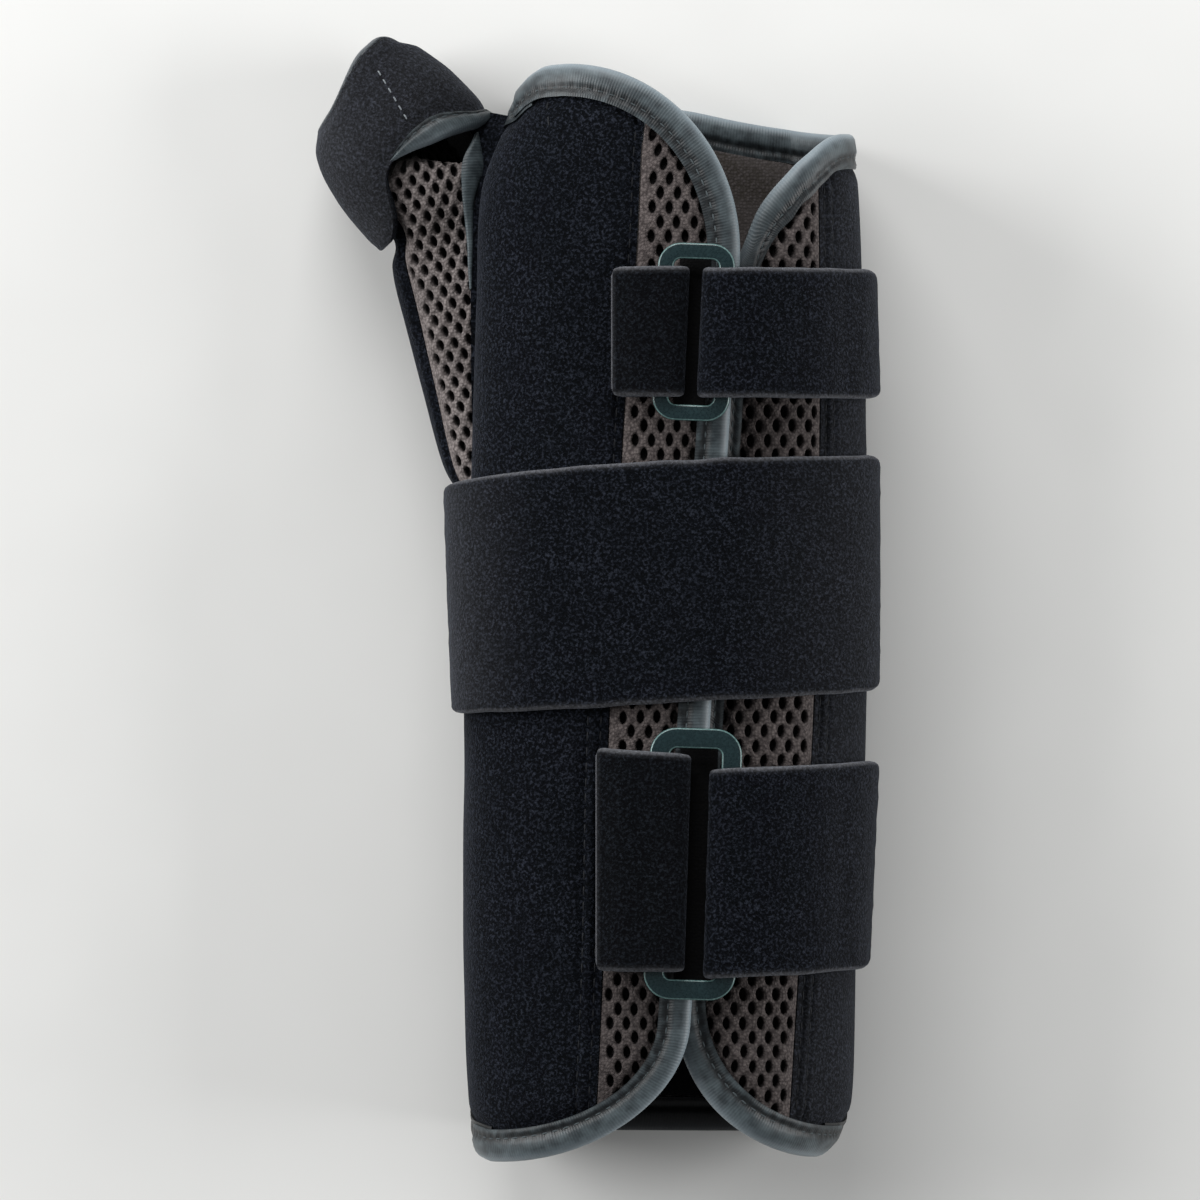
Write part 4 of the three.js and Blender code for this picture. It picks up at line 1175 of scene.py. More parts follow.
@dataclass(frozen=True)
class FlapCut:
    """One piece cut for a flap, between two pattern lines, each a sewn seam or an edge under the tape."""

    flap: Flap
    s_from: Of
    s_to: Of
    sewn: tuple[bool, bool]
    padding: Padding = Padding()
    rows: tuple[float, ...] = ()
    row_depth: float = 0.4
    row_reach: float = 0.42
    # Painted sheen: how much paler the whole piece is drawn.
    painted_sheen: float = 0.0

    def spans(self, share: Array) -> Pair:
        """Lowest and highest y of pattern columns, a little under the tape."""
        s_of = lambda y: mix(self.s_from(y), self.s_to(y), share)
        low = self.flap.crossing(s_of, UNDER_TAPE, False, len(share))
        return low, self.flap.crossing(s_of, UNDER_TAPE, True, len(share))

    def heights(self, flat: Array) -> Pair:
        """Heights of both faces at flat places (s, y)."""
        s, y = flat[..., 0], flat[..., 1]
        reach = self.flap.reach(s, y)
        seam = np.minimum(self.flap.top(reach, FOLD.width) - y, y - self.flap.bottom(reach, FOLD.width))
        seam = np.minimum(seam, reach - self.flap.edge - FOLD.width)
        if self.sewn[0]:
            seam = np.minimum(seam, s - self.s_from(y))
        if self.sewn[1]:
            seam = np.minimum(seam, self.s_to(y) - s)
        outer, inner = self.padding.heights(seam, flat)
        rise = self.flap.rise(reach)
        for row in self.rows:
            line = self.s_from(y) + row if row > 0 else self.s_to(y) + row
            outer = outer - self.row_depth * bell(s - line, self.row_reach)
        return outer + rise, inner + rise

    def panel(self, width: float, rows: OfTwo, step: float = 1.8) -> Shape:
        """The piece as a padded panel.

        Args:
            width: its usual width.
            rows: all rows' y for the lowest and highest y of the columns, shape (rows, columns).
            step: distance between columns.

        Returns:
            The shape.
        """
        share = spaced(width, step, CLOSE_EDGES) / width
        y = rows(*self.spans(share))
        s = mix(self.s_from(y), self.s_to(y), share[None])
        flat = pairs(s, y)
        outer, inner = self.heights(flat)
        # The edge mark carries the painted sheen here.
        marks = {"edge": np.full(s.shape, self.painted_sheen)}
        return block(FORM.wrap(s, y, outer), FORM.wrap(s, y, inner), flat, marks)

    def mesh(self, knit: MeshKnit, shaded: Optional[Of] = None, step: float = 1.7) -> Shape:
        """The piece as spacer mesh, cut along its edges."""
        share = np.linspace(0, 1, 14)
        low, high = self.spans(share)
        count = int((high[0] - low[0]) / step)
        right = np.linspace(low[-1], high[-1], count)[1:-1]
        left = np.linspace(high[0], low[0], count)[1:-1]
        y = np.concatenate([low, right, high[::-1], left])
        column = np.concatenate([share, 0 * right + 1, share[::-1], 0 * left])
        outline = pairs(mix(self.s_from(y), self.s_to(y), column), y)
        place = lambda flat, h: FORM.wrap(flat[:, 0], flat[:, 1], h)
        return knit.cut(outline, place, self.heights, shaded)

    def line(self, s: Array, y: Array) -> Pair:
        """Points and normals of a stitch line on the piece."""
        outer, _ = self.heights(pairs(s, y))
        low = FORM.wrap(s, y, outer)
        return low, FORM.wrap(s, y, outer + 1) - low


def even_rows(count: int) -> OfTwo:
    """Rows that lie closer at both ends."""
    share = 0.5 - 0.5 * np.cos(math.pi * np.linspace(0, 1, count))[:, None]
    share = mix(share, np.linspace(0, 1, count)[:, None], 0.6)
    return lambda low, high: mix(low[None], high[None], share)


Stage = tuple[float, Callable[[Array, Array], Pair]]


def tape_run(flap: Flap, stages: Sequence[Stage]) -> Place:
    """Joins the stages of a flap's rim to one run for its tape.

    Args:
        flap: the flap.
        stages: weights, and functions of (share of the stage, inset) that give reach and y.

    Returns:
        A function that puts (share of the run, inset, height) in the sleeve.
    """
    bounds = np.concatenate([[0.0], np.cumsum([float(weight) for weight, _ in stages])])
    bounds /= bounds[-1]

    def place(share: Array, inset: Array, height: Array) -> Array:
        """Puts the tape's section along the rim."""
        share, inset = alike(share, inset)
        reach, y = np.empty(share.shape), np.empty(share.shape)
        index = np.clip(np.searchsorted(bounds, share[:, 0], side="right") - 1, 0, len(stages) - 1)
        for i, (_, at) in enumerate(stages):
            pick = index == i
            local = (share[pick] - bounds[i]) / (bounds[i + 1] - bounds[i])
            reach[pick], y[pick] = at(local, inset[pick])
        rise = flap.rise(np.maximum(reach, flap.edge))
        return FORM.wrap(flap.s_at(reach, y), y, rise + height)

    return place


def make_tape(name: str, fold: TapeFold, place: Place, closed: bool,
              stitching: Stitching, finish: Finish = TAPE,
              tone_and_painted_shade: Optional[Of] = None) -> None:
    """Makes an edge tape with its row of stitches.

    Args:
        name: of the piece and of the node that it stands for.
        fold: how the tape is folded.
        place: puts (share of the run, inset, height) in the sleeve.
        closed: the tape is a hoop.
        stitching: takes the stitches.
        finish: the tape's finish.
        tone_and_painted_shade: painted shade on the tape at heights along the sleeve.
    """
    shape, line, up = fold.fold(place, closed)
    if tone_and_painted_shade:
        # Painted shade: the tape is darkened there and loses its painted highlight.
        dull = tone_and_painted_shade(shape.points[:, 1])
        shape.marks["prick"] = mix(shape.marks["prick"], 1, dull)
        shape.marks["rim"] = shape.marks["rim"] * (1 - dull)
    piece = make_piece(name, shape, [finish], Slot.TAPE, [name])
    if closed:
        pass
    else:
        fold.flat(line)
    stitching.run(line, up, pitch=fold.pitch, length=1.9, thick=0.19, sink=0.02)


def on_rim(rim: OfTwo, reach: Array, inset: Array) -> Pair:
    """Reach and y on a rim."""
    reach, inset = alike(reach, inset)
    return reach, rim(reach, inset)


@dataclass
class LeftFlap:
    """The left flap: loop panel, mesh strip, edge tape, and a double-stitched seam between them."""

    foot: Span = (20.2, 22.0)
    edge_above: float = 1.5
    top_side: float = 44.6
    bottom_side: float = 39.6
    panel_width: float = 75.0
    row_counts: tuple[int, int] = (60, 42)
    seam_rows: Span = (1.4, 3.8)
    seam_span: Span = (-97.0, 92.0)
    mark: tuple[float, float, float, float] = (-22.2, 101.0, -20.9, 92.0)
    # Painted shade on the left mesh, darker towards the forearm end.
    painted_shade: float = 0.36

    def back_edge(self, y: Array) -> Array:
        """Back edge of the panel: the back seam at the forearm, the thumb opening towards the hand."""
        opening = smooth(y, *self.foot)
        return mix(FORM.back_left_s(y) + SEAM, FORM.waist_left(y) + self.edge_above, opening)

    def rows(self, low: Array, high: Array) -> Array:
        """Rows of the panel, with the step of the thumb opening between two of them."""
        below = np.sin(math.pi / 2 * np.linspace(1, 0, self.row_counts[0]))[:, None]
        above = np.sin(math.pi / 2 * np.linspace(0, 1, self.row_counts[1]))[:, None]
        middle = np.full((1, len(low)), sum(self.foot) / 2)
        return np.concatenate([
            mix(self.foot[0], low[None], below), middle, mix(self.foot[1], high[None], above)])

    def build(self) -> None:
        """Makes the flap's pieces."""
        seam = FORM.left_seam_s
        loop = FlapCut(LEFT_FLAP, self.back_edge, lambda y: seam(y) - SEAM, (True, True),
                       rows=tuple(-inset for inset in self.seam_rows))
        make_padded("left_panel", loop.panel(self.panel_width, self.rows), [LOOP, LINING], Slot.LOOP)
        inner = lambda y: LEFT_FLAP.s_at(np.full(np.shape(y), UNDER_TAPE), y)
        net = FlapCut(LEFT_FLAP, lambda y: seam(y) + SEAM, inner, (True, False))
        # Painted shade: the left mesh is drawn darker towards the forearm end.
        tone_and_painted_shade = lambda flat: self.painted_shade * (1 - smooth(flat[:, 1], -75, 45))
        make_padded("left_mesh", net.mesh(KNIT, tone_and_painted_shade), [MESH, LINING], Slot.MESH)
        dark = Stitching("left_flap_stitching", DARK_THREAD, Slot.LOOP)
        tape = Stitching("left_tape_stitching", GREY_THREAD, Slot.TAPE)
        bottom, top = LEFT_FLAP.bottom_corner, LEFT_FLAP.top_corner
        stages: list[Stage] = [
            (3, lambda t, w: on_rim(LEFT_FLAP.bottom, mix(self.bottom_side, bottom.across, t), w)),
            (50, lambda t, w: bottom.point(t, w)),
            (143, lambda t, w: (w + 0 * t, mix(bottom.y, top.y, t))),
            (58, lambda t, w: top.point(1 - t, w)),
            (9, lambda t, w: on_rim(LEFT_FLAP.top, mix(top.across, self.top_side, t), w)),
        ]
        # Painted shade on the tape between about y 50 and 97.
        make_tape("left_flap_binding", FOLD, tape_run(LEFT_FLAP, stages), False,
                  tape,
                  tone_and_painted_shade=lambda y: 0.2 * smooth(y, 50, 66) * (1 - smooth(y, 84, 97)))
        y = np.linspace(*self.seam_span, 160)
        for inset in self.seam_rows:
            dark.run(*loop.line(seam(y) - SEAM - inset, y), sink=0.05)
        x0, y0, x1, y1 = self.mark
        y = np.linspace(y0, y1, 12)
        dark.run(*loop.line(FORM.front_s(np.linspace(x0, x1, 12), y), y), pitch=2.6)
        dark.make()
        tape.make()


@dataclass
class RightFlap:
    """The right flap, which dips under the left one: loop panel, mesh strip and edge tape."""

    top_side: float = 20.5
    panel_width: float = 62.0
    row_count: int = 96
    seam_rows: Span = (1.2, 2.9)
    seam_span: Span = (-94.0, 82.0)

    def build(self) -> None:
        """Makes the flap's pieces."""
        seam = FORM.right_seam_s
        # Painted sheen: the right loop panel is drawn a little paler all over.
        loop = FlapCut(RIGHT_FLAP, lambda y: seam(y) + SEAM, lambda y: FORM.back_right_s(y) - SEAM,
                       (True, True), Padding(seed=2), self.seam_rows, painted_sheen=0.08)
        shape = loop.panel(self.panel_width, even_rows(self.row_count))
        make_padded("right_panel", shape, [LOOP, LINING], Slot.LOOP)
        inner = lambda y: RIGHT_FLAP.s_at(np.full(np.shape(y), UNDER_TAPE - TUCK), y)
        net = FlapCut(RIGHT_FLAP, inner, lambda y: seam(y) - SEAM, (False, True), Padding(seed=3))
        make_padded("right_mesh", net.mesh(KNIT), [MESH, LINING], Slot.MESH)
        bottom = RIGHT_FLAP.bottom_corner
        edge_top = lambda w: RIGHT_FLAP.top(w - TUCK, w)
        stages: list[Stage] = [
            (50, lambda t, w: bottom.point(t, w)),
            (128, lambda t, w: (w - TUCK + 0 * t, mix(bottom.y, edge_top(w), t))),
            (40, lambda t, w: on_rim(RIGHT_FLAP.top, mix(w - TUCK, self.top_side, t), w)),
        ]
        dark = Stitching("right_flap_stitching", DARK_THREAD, Slot.LOOP)
        tape = Stitching("right_tape_stitching", GREY_THREAD, Slot.TAPE)
        # Painted shade on the tape between about y 40 and 90, where it lies in the left flap's shadow.
        make_tape("right_flap_binding", FOLD, tape_run(RIGHT_FLAP, stages), False,
                  tape,
                  tone_and_painted_shade=lambda y: 0.45 * smooth(y, 40, 56) * (1 - smooth(y, 72, 90)))
        y = np.linspace(*self.seam_span, 150)
        for inset in self.seam_rows:
            dark.run(*loop.line(seam(y) + SEAM + inset, y), sink=0.05)
        dark.make()
        tape.make()


@dataclass
class Back:
    """The flat back: loop panel, lining, and the tape round both ends of the back."""

    bottom_y: float = -98.8
    top_y: float = 91.0
    tape: TapeFold = TapeFold(width=6.4, nose=2.0)
    gap: float = 0.3
    wall: float = 3.0
    lining: float = 1.2
    lining_base: float = 3.6
    lining_margin: float = -4.5
    # Painted shade: lining faces below this y take the near-black knit.
    shade_below: float = -62.0
    pinch: float = 0.3
    pinch_reach: float = 1.6
    tuck: float = 3.0
    width: float = 52.0
    rows: int = 90

    def s_at(self, share: Array, y: Array, margin: float) -> Array:
        """Pattern length at a share of the back, from its left seam to its right one."""
        left, right = FORM.back_left_s(y) - margin, FORM.back_right_s(y) + margin
        half = FORM.half(y)
        to_centre = left + half
        run = share * (to_centre + half - right)
        return np.where(run < to_centre, left - run, half - (run - to_centre))

    def plate(self, outer: float, inner: float, margin: float) -> Shape:
        """A plate of the back between two depths below the form, softly pinched at its edges."""
        share = spaced(self.width, 1.9, CLOSE_EDGES) / self.width
        at = np.full(len(share), self.top_y)
        s0 = self.s_at(share, at, margin)
        top = np.where(s0 < 0, LEFT_FLAP.top(LEFT_FLAP.reach(s0, at), 0.0),
                       RIGHT_FLAP.top(RIGHT_FLAP.reach(s0, at), 0.0))
        low = np.full(len(share), self.bottom_y + self.tape.width + self.gap)
        y = even_rows(self.rows)(low, top - self.tape.width - self.gap)
        s = self.s_at(np.broadcast_to(share[None], y.shape), y, margin)
        side = np.minimum(share, 1 - share)[None] * self.width
        edge = np.minimum(np.minimum(y - low, (top - self.tape.width) - y), side)
        pinch = self.pinch * bell(np.maximum(edge, 0), self.pinch_reach) * (inner - outer)
        flat = pairs(s, y)
        return block(FORM.wrap(s, y, -outer - pinch), FORM.wrap(s, y, pinch - inner), flat, {})

    @staticmethod
    def spans(y: Array) -> Pair:
        """Reach from the closure round to the middle of the back, on the left and on the right."""
        left = FORM.closure(y) - FORM.left(y) + FORM.half(y) + FORM.waist_left(y)
        return left, FORM.right(y) - FORM.closure(y) + FORM.half(y) - FORM.waist_right(y)

    def end_tape(self, nominal: float, starts: Span, top: bool) -> Callable:
        """Places the tape round one end of the back, from the left flap's tape to the right flap's."""
        way = 1 if top else -1
        starts = (starts[0] - self.tuck, starts[1] - self.tuck)
        lengths = [span - start for span, start in zip(self.spans(np.array(nominal)), starts)]
        left_run, total = lengths[0], sum(lengths)

        def place(share: Array, inset: Array, height: Array) -> Array:
            """Puts the tape's section along the end, slimmer where it is tucked under the flaps' tape."""
            share, inset = alike(share, inset)
            run, middle = share * total, -self.tape.wall / 2
            tucked = 1 - smooth(np.minimum(run, total - run), self.tuck, self.tuck + 3)
            reaches = (starts[0] + run, starts[1] + total - run)
            rims = [flap.top(reach, 0.0) if top else flap.bottom(reach, 0.0)
                    for flap, reach in zip((LEFT_FLAP, RIGHT_FLAP), reaches)]
            rim = mix(rims[0], rims[1], smooth(run - left_run, -10, 10))
            y = rim - way * (inset + 0.35 * tucked)
            sides = [flap.s_at(start + (reach - start) * (span - start) / length, y)
                     for flap, start, reach, span, length in zip(
                         (LEFT_FLAP, RIGHT_FLAP), starts, reaches, self.spans(y), lengths)]
            s = np.where(run < left_run, *sides)
            slim = middle + (height - middle) * (1 - 0.14 * tucked)
            return FORM.wrap(s, y, slim - self.tape.stand)

        return place

    def build(self) -> None:
        """Makes the back's pieces."""
        shape = self.plate(0, self.wall, SEAM)
        make_padded("back_panel", shape, [LOOP, LINING], Slot.LOOP)
        depth = self.lining_base + self.lining
        shape = self.plate(self.lining_base, depth, self.lining_margin)
        # Painted shade: faces of the lining towards the forearm end take the near-black knit.
        y = np.array([shape.points[list(face), 1].mean() for face in shape.faces])
        shape.inner = (y < self.shade_below).astype(float)
        piece = make_piece("back_lining", shape, [LINING, SHADE_KNIT], Slot.LINING, ["back_lining"])
        stitching = Stitching("back_tape_stitching", GREY_THREAD, Slot.TAPE)
        # Painted shade: the bottom end's tape is the near-black copy.
        ends = (("back_top_binding", 96.0, (44.6, 20.5), True, TAPE),
                ("back_bottom_binding", -100.0, (39.6, 30.0), False, SHADE_TAPE))
        for name, nominal, starts, top, finish in ends:
            make_tape(name, self.tape, self.end_tape(nominal, starts, top), False,
                      stitching, finish)
        stitching.make()


def by_station(*values: float) -> Curve:
    """Curve of one of the thumb sleeve's measures over its stations 0, 1, 2 and so on."""
    return Curve(tuple(enumerate(values)))


@dataclass
class ThumbSleeve:
    """The thumb sleeve: mesh front, loop side, web tape, and a loop band with tape on both rims."""

    right_x: Curve = by_station(-34.2, -34, -33.7, -33, -32.5, -32.9, -41.8, -51)
    right_y: Curve = by_station(22.4, 29, 45, 60, 75, 90.4, 101.2, 108.3)
    left_x: Curve = by_station(-37.6, -41.2, -45.1, -48.8, -51, -51, -60.2, -63.1)
    left_y: Curve = by_station(22.4, 28.4, 42.4, 56.4, 66, 72.2, 82.8, 97)
    top: Curve = by_station(26.6, 26.4, 25.8, 25.4, 25.4, 27.5, 25.9, 22.3)
    bottom: Curve = by_station(0.5, 0.5, 0.5, 0.7, 1.6, 3.9, 3.9, 4.1)
    roundness: Curve = by_station(0, 0, 0, 0.06, 0.28, 0.5, 0.5, 0.5)
    under: Curve = by_station(8.8, 8.8, 8.6, 7.5, 4, 0, 0, 0)
    sleeve_end: float = 5.9
    seam_deg: float = 150.0
    seam_gap_deg: float = 0.9
    close_deg: float = 2.0
    tip_at: float = 7.0
    gap: float = 0.3
    band_wall: float = 2.8
    base_rim: Curve = Curve((
        (0, 5.15), (30, 5.22), (45, 5.3), (60, 5.4), (75, 5.5), (90, 5.62), (105, 5.69), (118, 5.58),
        (134, 5.2), (146, 4.99), (158, 4.92), (170, 4.95), (183, 5.07), (230, 5.03), (330, 5.06),
        (360, 5.15)))
    base_share: Curve = Curve((
        (0, 0.4), (30, 0.55), (45, 0.8), (60, 1), (75, 0.88), (90, 0.5), (105, 0.12), (125, 0.02),
        (200, 0.02), (300, 0.2), (340, 0.35), (360, 0.4)))
    base_tape: float = 0.34
    tip_tape: float = 0.1
    tip_sink: float = 0.35
    tip_bulge: float = 0.3
    tip_round: float = 0.1
    tip_curl: Span = (2.1, 0.3)
    tip_run: Span = (-6.0, 10.6)
    flare_out: Span = (1.2, 1.7)
    flare_base: Span = (5.0, 6.0)
    flare_tip: Span = (5.9, 6.7)
    station_mm: float = 13.5
    dip: float = 6.0
    dip_y: Span = (86.0, 87.8)
    dip_left: tuple[float, float, float] = (2.6, 45.0, 53.0)
    gusset_from: float = 29.0
    gusset_top: Span = (96.5, 93.5)
    gusset_edge: Curve = Curve((
        (29, -35.3), (40, -35.8), (60, -36), (70, -35.9), (75, -35.7), (80, -34.9), (84.4, -33.8),
        (88, -34.4), (92, -35.2), (97, -36)))
    gusset_wall: float = 0.6
    gusset_behind: float = 3.6
    gusset_fold: float = 0.7
    gusset_rise: float = 3.0
    side_from: float = 76.0
    side_past: float = 1.2
    side_depths: Span = (0.5, 2.4)
    knit_lean_deg: float = 12.0
    base_fold: TapeFold = TapeFold(width=5.0, wall=2.8, nose=1.7, groove_at=0.95, groove_reach=0.4, bulge=0.2)
    tip_fold: TapeFold = TapeFold(
        width=1.6, wall=2.8, stand=0.0, nose=0.9, groove_at=0.4, groove_reach=0.2, bulge=0.05)
    web: tuple[tuple[float, float, float], ...] = (
        (91.6, -35.3, -34.8), (90, -35.9, -34.3), (88.3, -36.8, -33.9), (86.6, -37.5, -33.6),
        (84.4, -37.8, -33.6), (81.5, -37.7, -34.6), (78.1, -37.5, -35.4), (74.7, -37.1, -35.5),
        (70.1, -36.7, -35.5), (65.6, -36.5, -35.6), (62, -36.2, -35.7))
    web_wall: float = 0.7
    dash: tuple[float, float, float, float] = (-53.9, 103.9, -47.9, 93.8)

    def at(self, station: Array, angle_deg: Array, h: Array) -> Array:
        """Points of the sleeve.

        Args:
            station: row of the table of measures, from the foot to the tip.
            angle_deg: round the sleeve: 0 next to the hand, 90 front, 180 outer side.
            h: height above its surface.

        Returns:
            Points in millimetres, shape (..., 3).
        """
        station, angle, h = alike(station, np.radians(angle_deg), h)
        right = pairs(self.right_x(station), self.right_y(station))
        left = pairs(self.left_x(station), self.left_y(station))
        outward = left - right
        outward /= np.linalg.norm(outward, axis=-1, keepdims=True)
        below = np.where(np.sin(angle) < 0, np.maximum(self.under(station), 0), 0)
        right = right - outward * below[..., None]
        centre = mix(right, left, np.minimum(self.roundness(station), 0.5)[..., None])
        half = np.linalg.norm(left - centre, axis=-1) + h
        low, high = self.bottom(station), self.top(station)
        flat = centre - outward * (half * np.cos(angle))[..., None]
        flat = flat + np.maximum(station - self.tip_at, 0)[..., None] * np.array(self.tip_run)
        z = (low + high) / 2 + ((high - low) / 2 + h) * np.sin(angle)
        return np.concatenate([flat, z[..., None]], -1)

    def opening_deg(self, station: Array) -> Array:
        """Angle at which the sleeve opens to the hand."""
        shape = np.clip(self.roundness(station), 0, 0.5)
        return np.degrees(np.arccos(np.clip(shape / (1 - shape), 0, 1)))

    def band_tip(self, turn: Array) -> Array:
        """Station of the band's tip rim, which bulges at the front and is rounded at the outer side."""
        bulge = self.tip_bulge * smooth(turn, 0, 50) * (1 - smooth(turn, 70, 150))
        return self.tip_at + bulge - self.tip_round * bell(turn - 180, 40)

    def flare(self, station: Array, turn: Array) -> Array:
        """How far the band stands out at its outer side, less what its tip is drawn in all round."""
        base = self.flare_out[0] * (1 - smooth(station, *self.flare_base)) * bell(turn - 185, 34)
        side = self.flare_out[1] * smooth(station, *self.flare_tip) * bell(turn - 180, 45)
        depth, span = self.tip_curl
        near = np.clip(1 - (self.band_tip(turn) - station) / span, 0, 1)
        return base + side - depth * (1 - np.sqrt(1 - 0.97 * near * near))

    def find(self, places: Array, h: float) -> Pair:
        """Finds where the front of the sleeve shows places seen from above.

        Args:
            places: x and y, shape (places, 2).
            h: height above the sleeve.

        Returns:
            Station and angle of each place.
        """
        station, angle = np.meshgrid(np.linspace(0, self.tip_at, 70), np.linspace(5, 165, 30), indexing="ij")
        station, angle = station.ravel(), angle.ravel()
        grid = self.at(station, angle, h)[:, :2]
        near = np.array([np.argmin(((grid - place) ** 2).sum(1)) for place in places])
        station, angle = station[near], angle[near]
        cross = lambda a, b: a[:, 0] * b[:, 1] - a[:, 1] * b[:, 0]
        for _ in range(12):
            here = self.at(station, angle, h)[:, :2]
            along = (self.at(station + 0.01, angle, h)[:, :2] - here) / 0.01
            around = (self.at(station, angle + 0.1, h)[:, :2] - here) / 0.1
            area = cross(along, around)
            area = np.where(np.abs(area) < 1e-4, -1e-4, area)
            miss = places - here
            station = np.clip(station + np.clip(cross(miss, around) / area, -0.3, 0.3), 0, self.tip_at)
            angle = np.clip(angle + np.clip(cross(along, miss) / area, -9, 9), 1, 175)
        return station, angle

    def mesh_shape(self) -> Shape:
        """The mesh front: its knit runs even as seen from the front, and it dips under the band."""
        lean = math.radians(self.knit_lean_deg)
        axes = np.array([[math.cos(lean), math.sin(lean)], [-math.sin(lean), math.cos(lean)]])
        start, stations = self.seam_deg - self.seam_gap_deg, np.linspace(0, self.sleeve_end, 60)
        ends = np.linspace(0, 1, 14)[1:-1]
        top, foot = self.opening_deg(np.array([self.sleeve_end, 0.0]))
        rim = np.concatenate([
            self.at(stations, self.opening_deg(stations), 0),
            self.at(self.sleeve_end, mix(top, start, ends), 0),
            self.at(stations[::-1], start, 0), self.at(0, mix(start, foot, ends), 0)])
        outline = rim[:, :2] @ axes.T

        def spot(flat: Array) -> Pair:
            """Station and angle of flat places."""
            station, angle = self.find(flat @ axes, 0)
            return np.minimum(station, self.sleeve_end), np.clip(angle, self.opening_deg(station), start)

        def heights(flat: Array) -> Pair:
            """Heights of both faces, pinched along the two seams and low under the band."""
            station, angle = spot(flat)
            half = np.hypot(self.left_x(station) - self.right_x(station),
                            self.left_y(station) - self.right_y(station)) / 2
            seam = np.radians(np.minimum(start - angle, angle - self.opening_deg(station))) * half * 1.4
            outer, inner = Padding(seed=7).heights(seam, flat)
            low = self.dip * under(flat) * smooth(start - angle, 0, 30)
            return outer - low, inner - low

        def under(flat: Array) -> Array:
            """How far flat places lie under the band, where the mesh falls away into its shade."""
            x, y = (flat @ axes).T
            drop, near, far = self.dip_left
            return smooth(y + drop * smooth(-x, near, far), *self.dip_y)

        # under also paints shade on the mesh through its pit mark, on top of the real shade of the dip.
        return THUMB_KNIT.cut(outline, lambda flat, h: self.at(*spot(flat), h), heights, under)

    def side_shape(self, width: float = 50.0) -> Shape:
        """The loop side and back of the sleeve."""
        share = spaced(width, 2.0, CLOSE_EDGES) / width
        station = np.linspace(0, self.sleeve_end, 84)[:, None]
        first = self.seam_deg + self.seam_gap_deg
        last = 360 - self.close_deg - self.opening_deg(station)
        angle = mix(first, last, share[None])
        seam = np.broadcast_to(np.minimum(share, 1 - share)[None] * width, angle.shape)
        flat = pairs(share[None] * width, station * self.station_mm)
        outer, inner = Padding(seed=8).heights(seam, flat)
        side = block(self.at(station, angle, outer), self.at(station, angle, inner), flat, {})
        return together(together(side, self.gusset()), self.hand_side())

    def gusset(self) -> Shape:
        """The loop gusset at the web: along the left flap's edge, and turned up behind the panel."""
        share = np.linspace(0, 1, 13)[None]
        y = mix(self.gusset_from, mix(*self.gusset_top, share), np.linspace(0, 1, 70)[:, None])
        first = self.gusset_edge(y)
        across, turn = np.minimum(share / self.gusset_fold, 1), smooth(share, 0.62, 0.8)
        x = mix(first, FORM.left(y) + self.gusset_behind, across)
        station, angle = self.find(pairs(first[:, 0], y[:, 0]), 0)
        low = self.at(station, angle, 0)[:, [2]] + self.gusset_wall + 0.15
        high = FORM.wrap(FORM.waist_left(y) + 1.5, y, 0 * y - 1)[..., 2] - 0.7
        z = mix(low, high, across) - 0.6 * np.sin(math.pi * across) * smooth(y, 80, 90)
        z = z + self.gusset_rise * np.maximum(share - self.gusset_fold, 0) / (1 - self.gusset_fold)
        faces = [np.stack([x + d * turn, y, z - d * (1 - turn)], -1) for d in (0, self.gusset_wall)]
        return block(*faces, pairs(x, y + z), {})

    def hand_side(self) -> Shape:
        """The loop side of the brace between the thumb opening and the tape at the hand."""
        share = np.linspace(0, 1, 16)[None]
        at = np.full(share.shape, self.gusset_top[1])
        s = mix(FORM.back_left_s(at) + SEAM, FORM.waist_left(at) + self.side_past, share)
        top = LEFT_FLAP.top(LEFT_FLAP.reach(s, at), UNDER_TAPE + 0.8)
        y = mix(self.side_from, top, np.linspace(0, 1, 14)[:, None])
        s = mix(FORM.back_left_s(y) + SEAM, FORM.waist_left(y) + self.side_past, share)
        faces = [FORM.wrap(s, y, -depth) for depth in self.side_depths]
        return block(*faces, pairs(s, y), {})

    def web_shape(self) -> Shape:
        """The grey tape at the web of the thumb, widest near its top and drawn out to a tail."""
        across = np.linspace(0, 1, 9)
        y = np.linspace(self.web[0][0], self.web[-1][0], 34)
        edges = [Curve(tuple(sorted((row[0], row[k]) for row in self.web)))(y) for k in (1, 2)]
        x = mix(edges[0][:, None], edges[1][:, None], across[None])
        places = pairs(x, y[:, None])
        station, angle = (v.reshape(x.shape) for v in self.find(places.reshape(-1, 2), self.gap))
        crown = 1 - (2 * across[None] - 1) ** 4
        high = self.gap + self.web_wall * (0.35 + 0.65 * crown)
        return block(self.at(station, angle, high), self.at(station, angle, self.gap), places, {})

    def band_shape(self) -> Shape:
        """The loop band round the thumb."""
        angle = np.linspace(0, 360, 150, endpoint=False)[:, None]
        base, tip, tape = self.base_rim(angle), self.band_tip(angle), self.base_tape * self.base_share(angle)
        share = spaced(24, 1.5, CLOSE_EDGES)[None] / 24
        station = mix(base + 0.33 * tape, tip - 0.05, share)
        from_base = station - base - tape
        seam = np.minimum(from_base, tip - self.tip_tape - station) * self.station_mm
        flat = pairs(angle / 4, station * self.station_mm)
        padding = Padding(wall=self.band_wall, pinch=0.5, swell=0.25, uneven=0.2, seed=9)
        outer, inner = padding.heights(seam, flat)
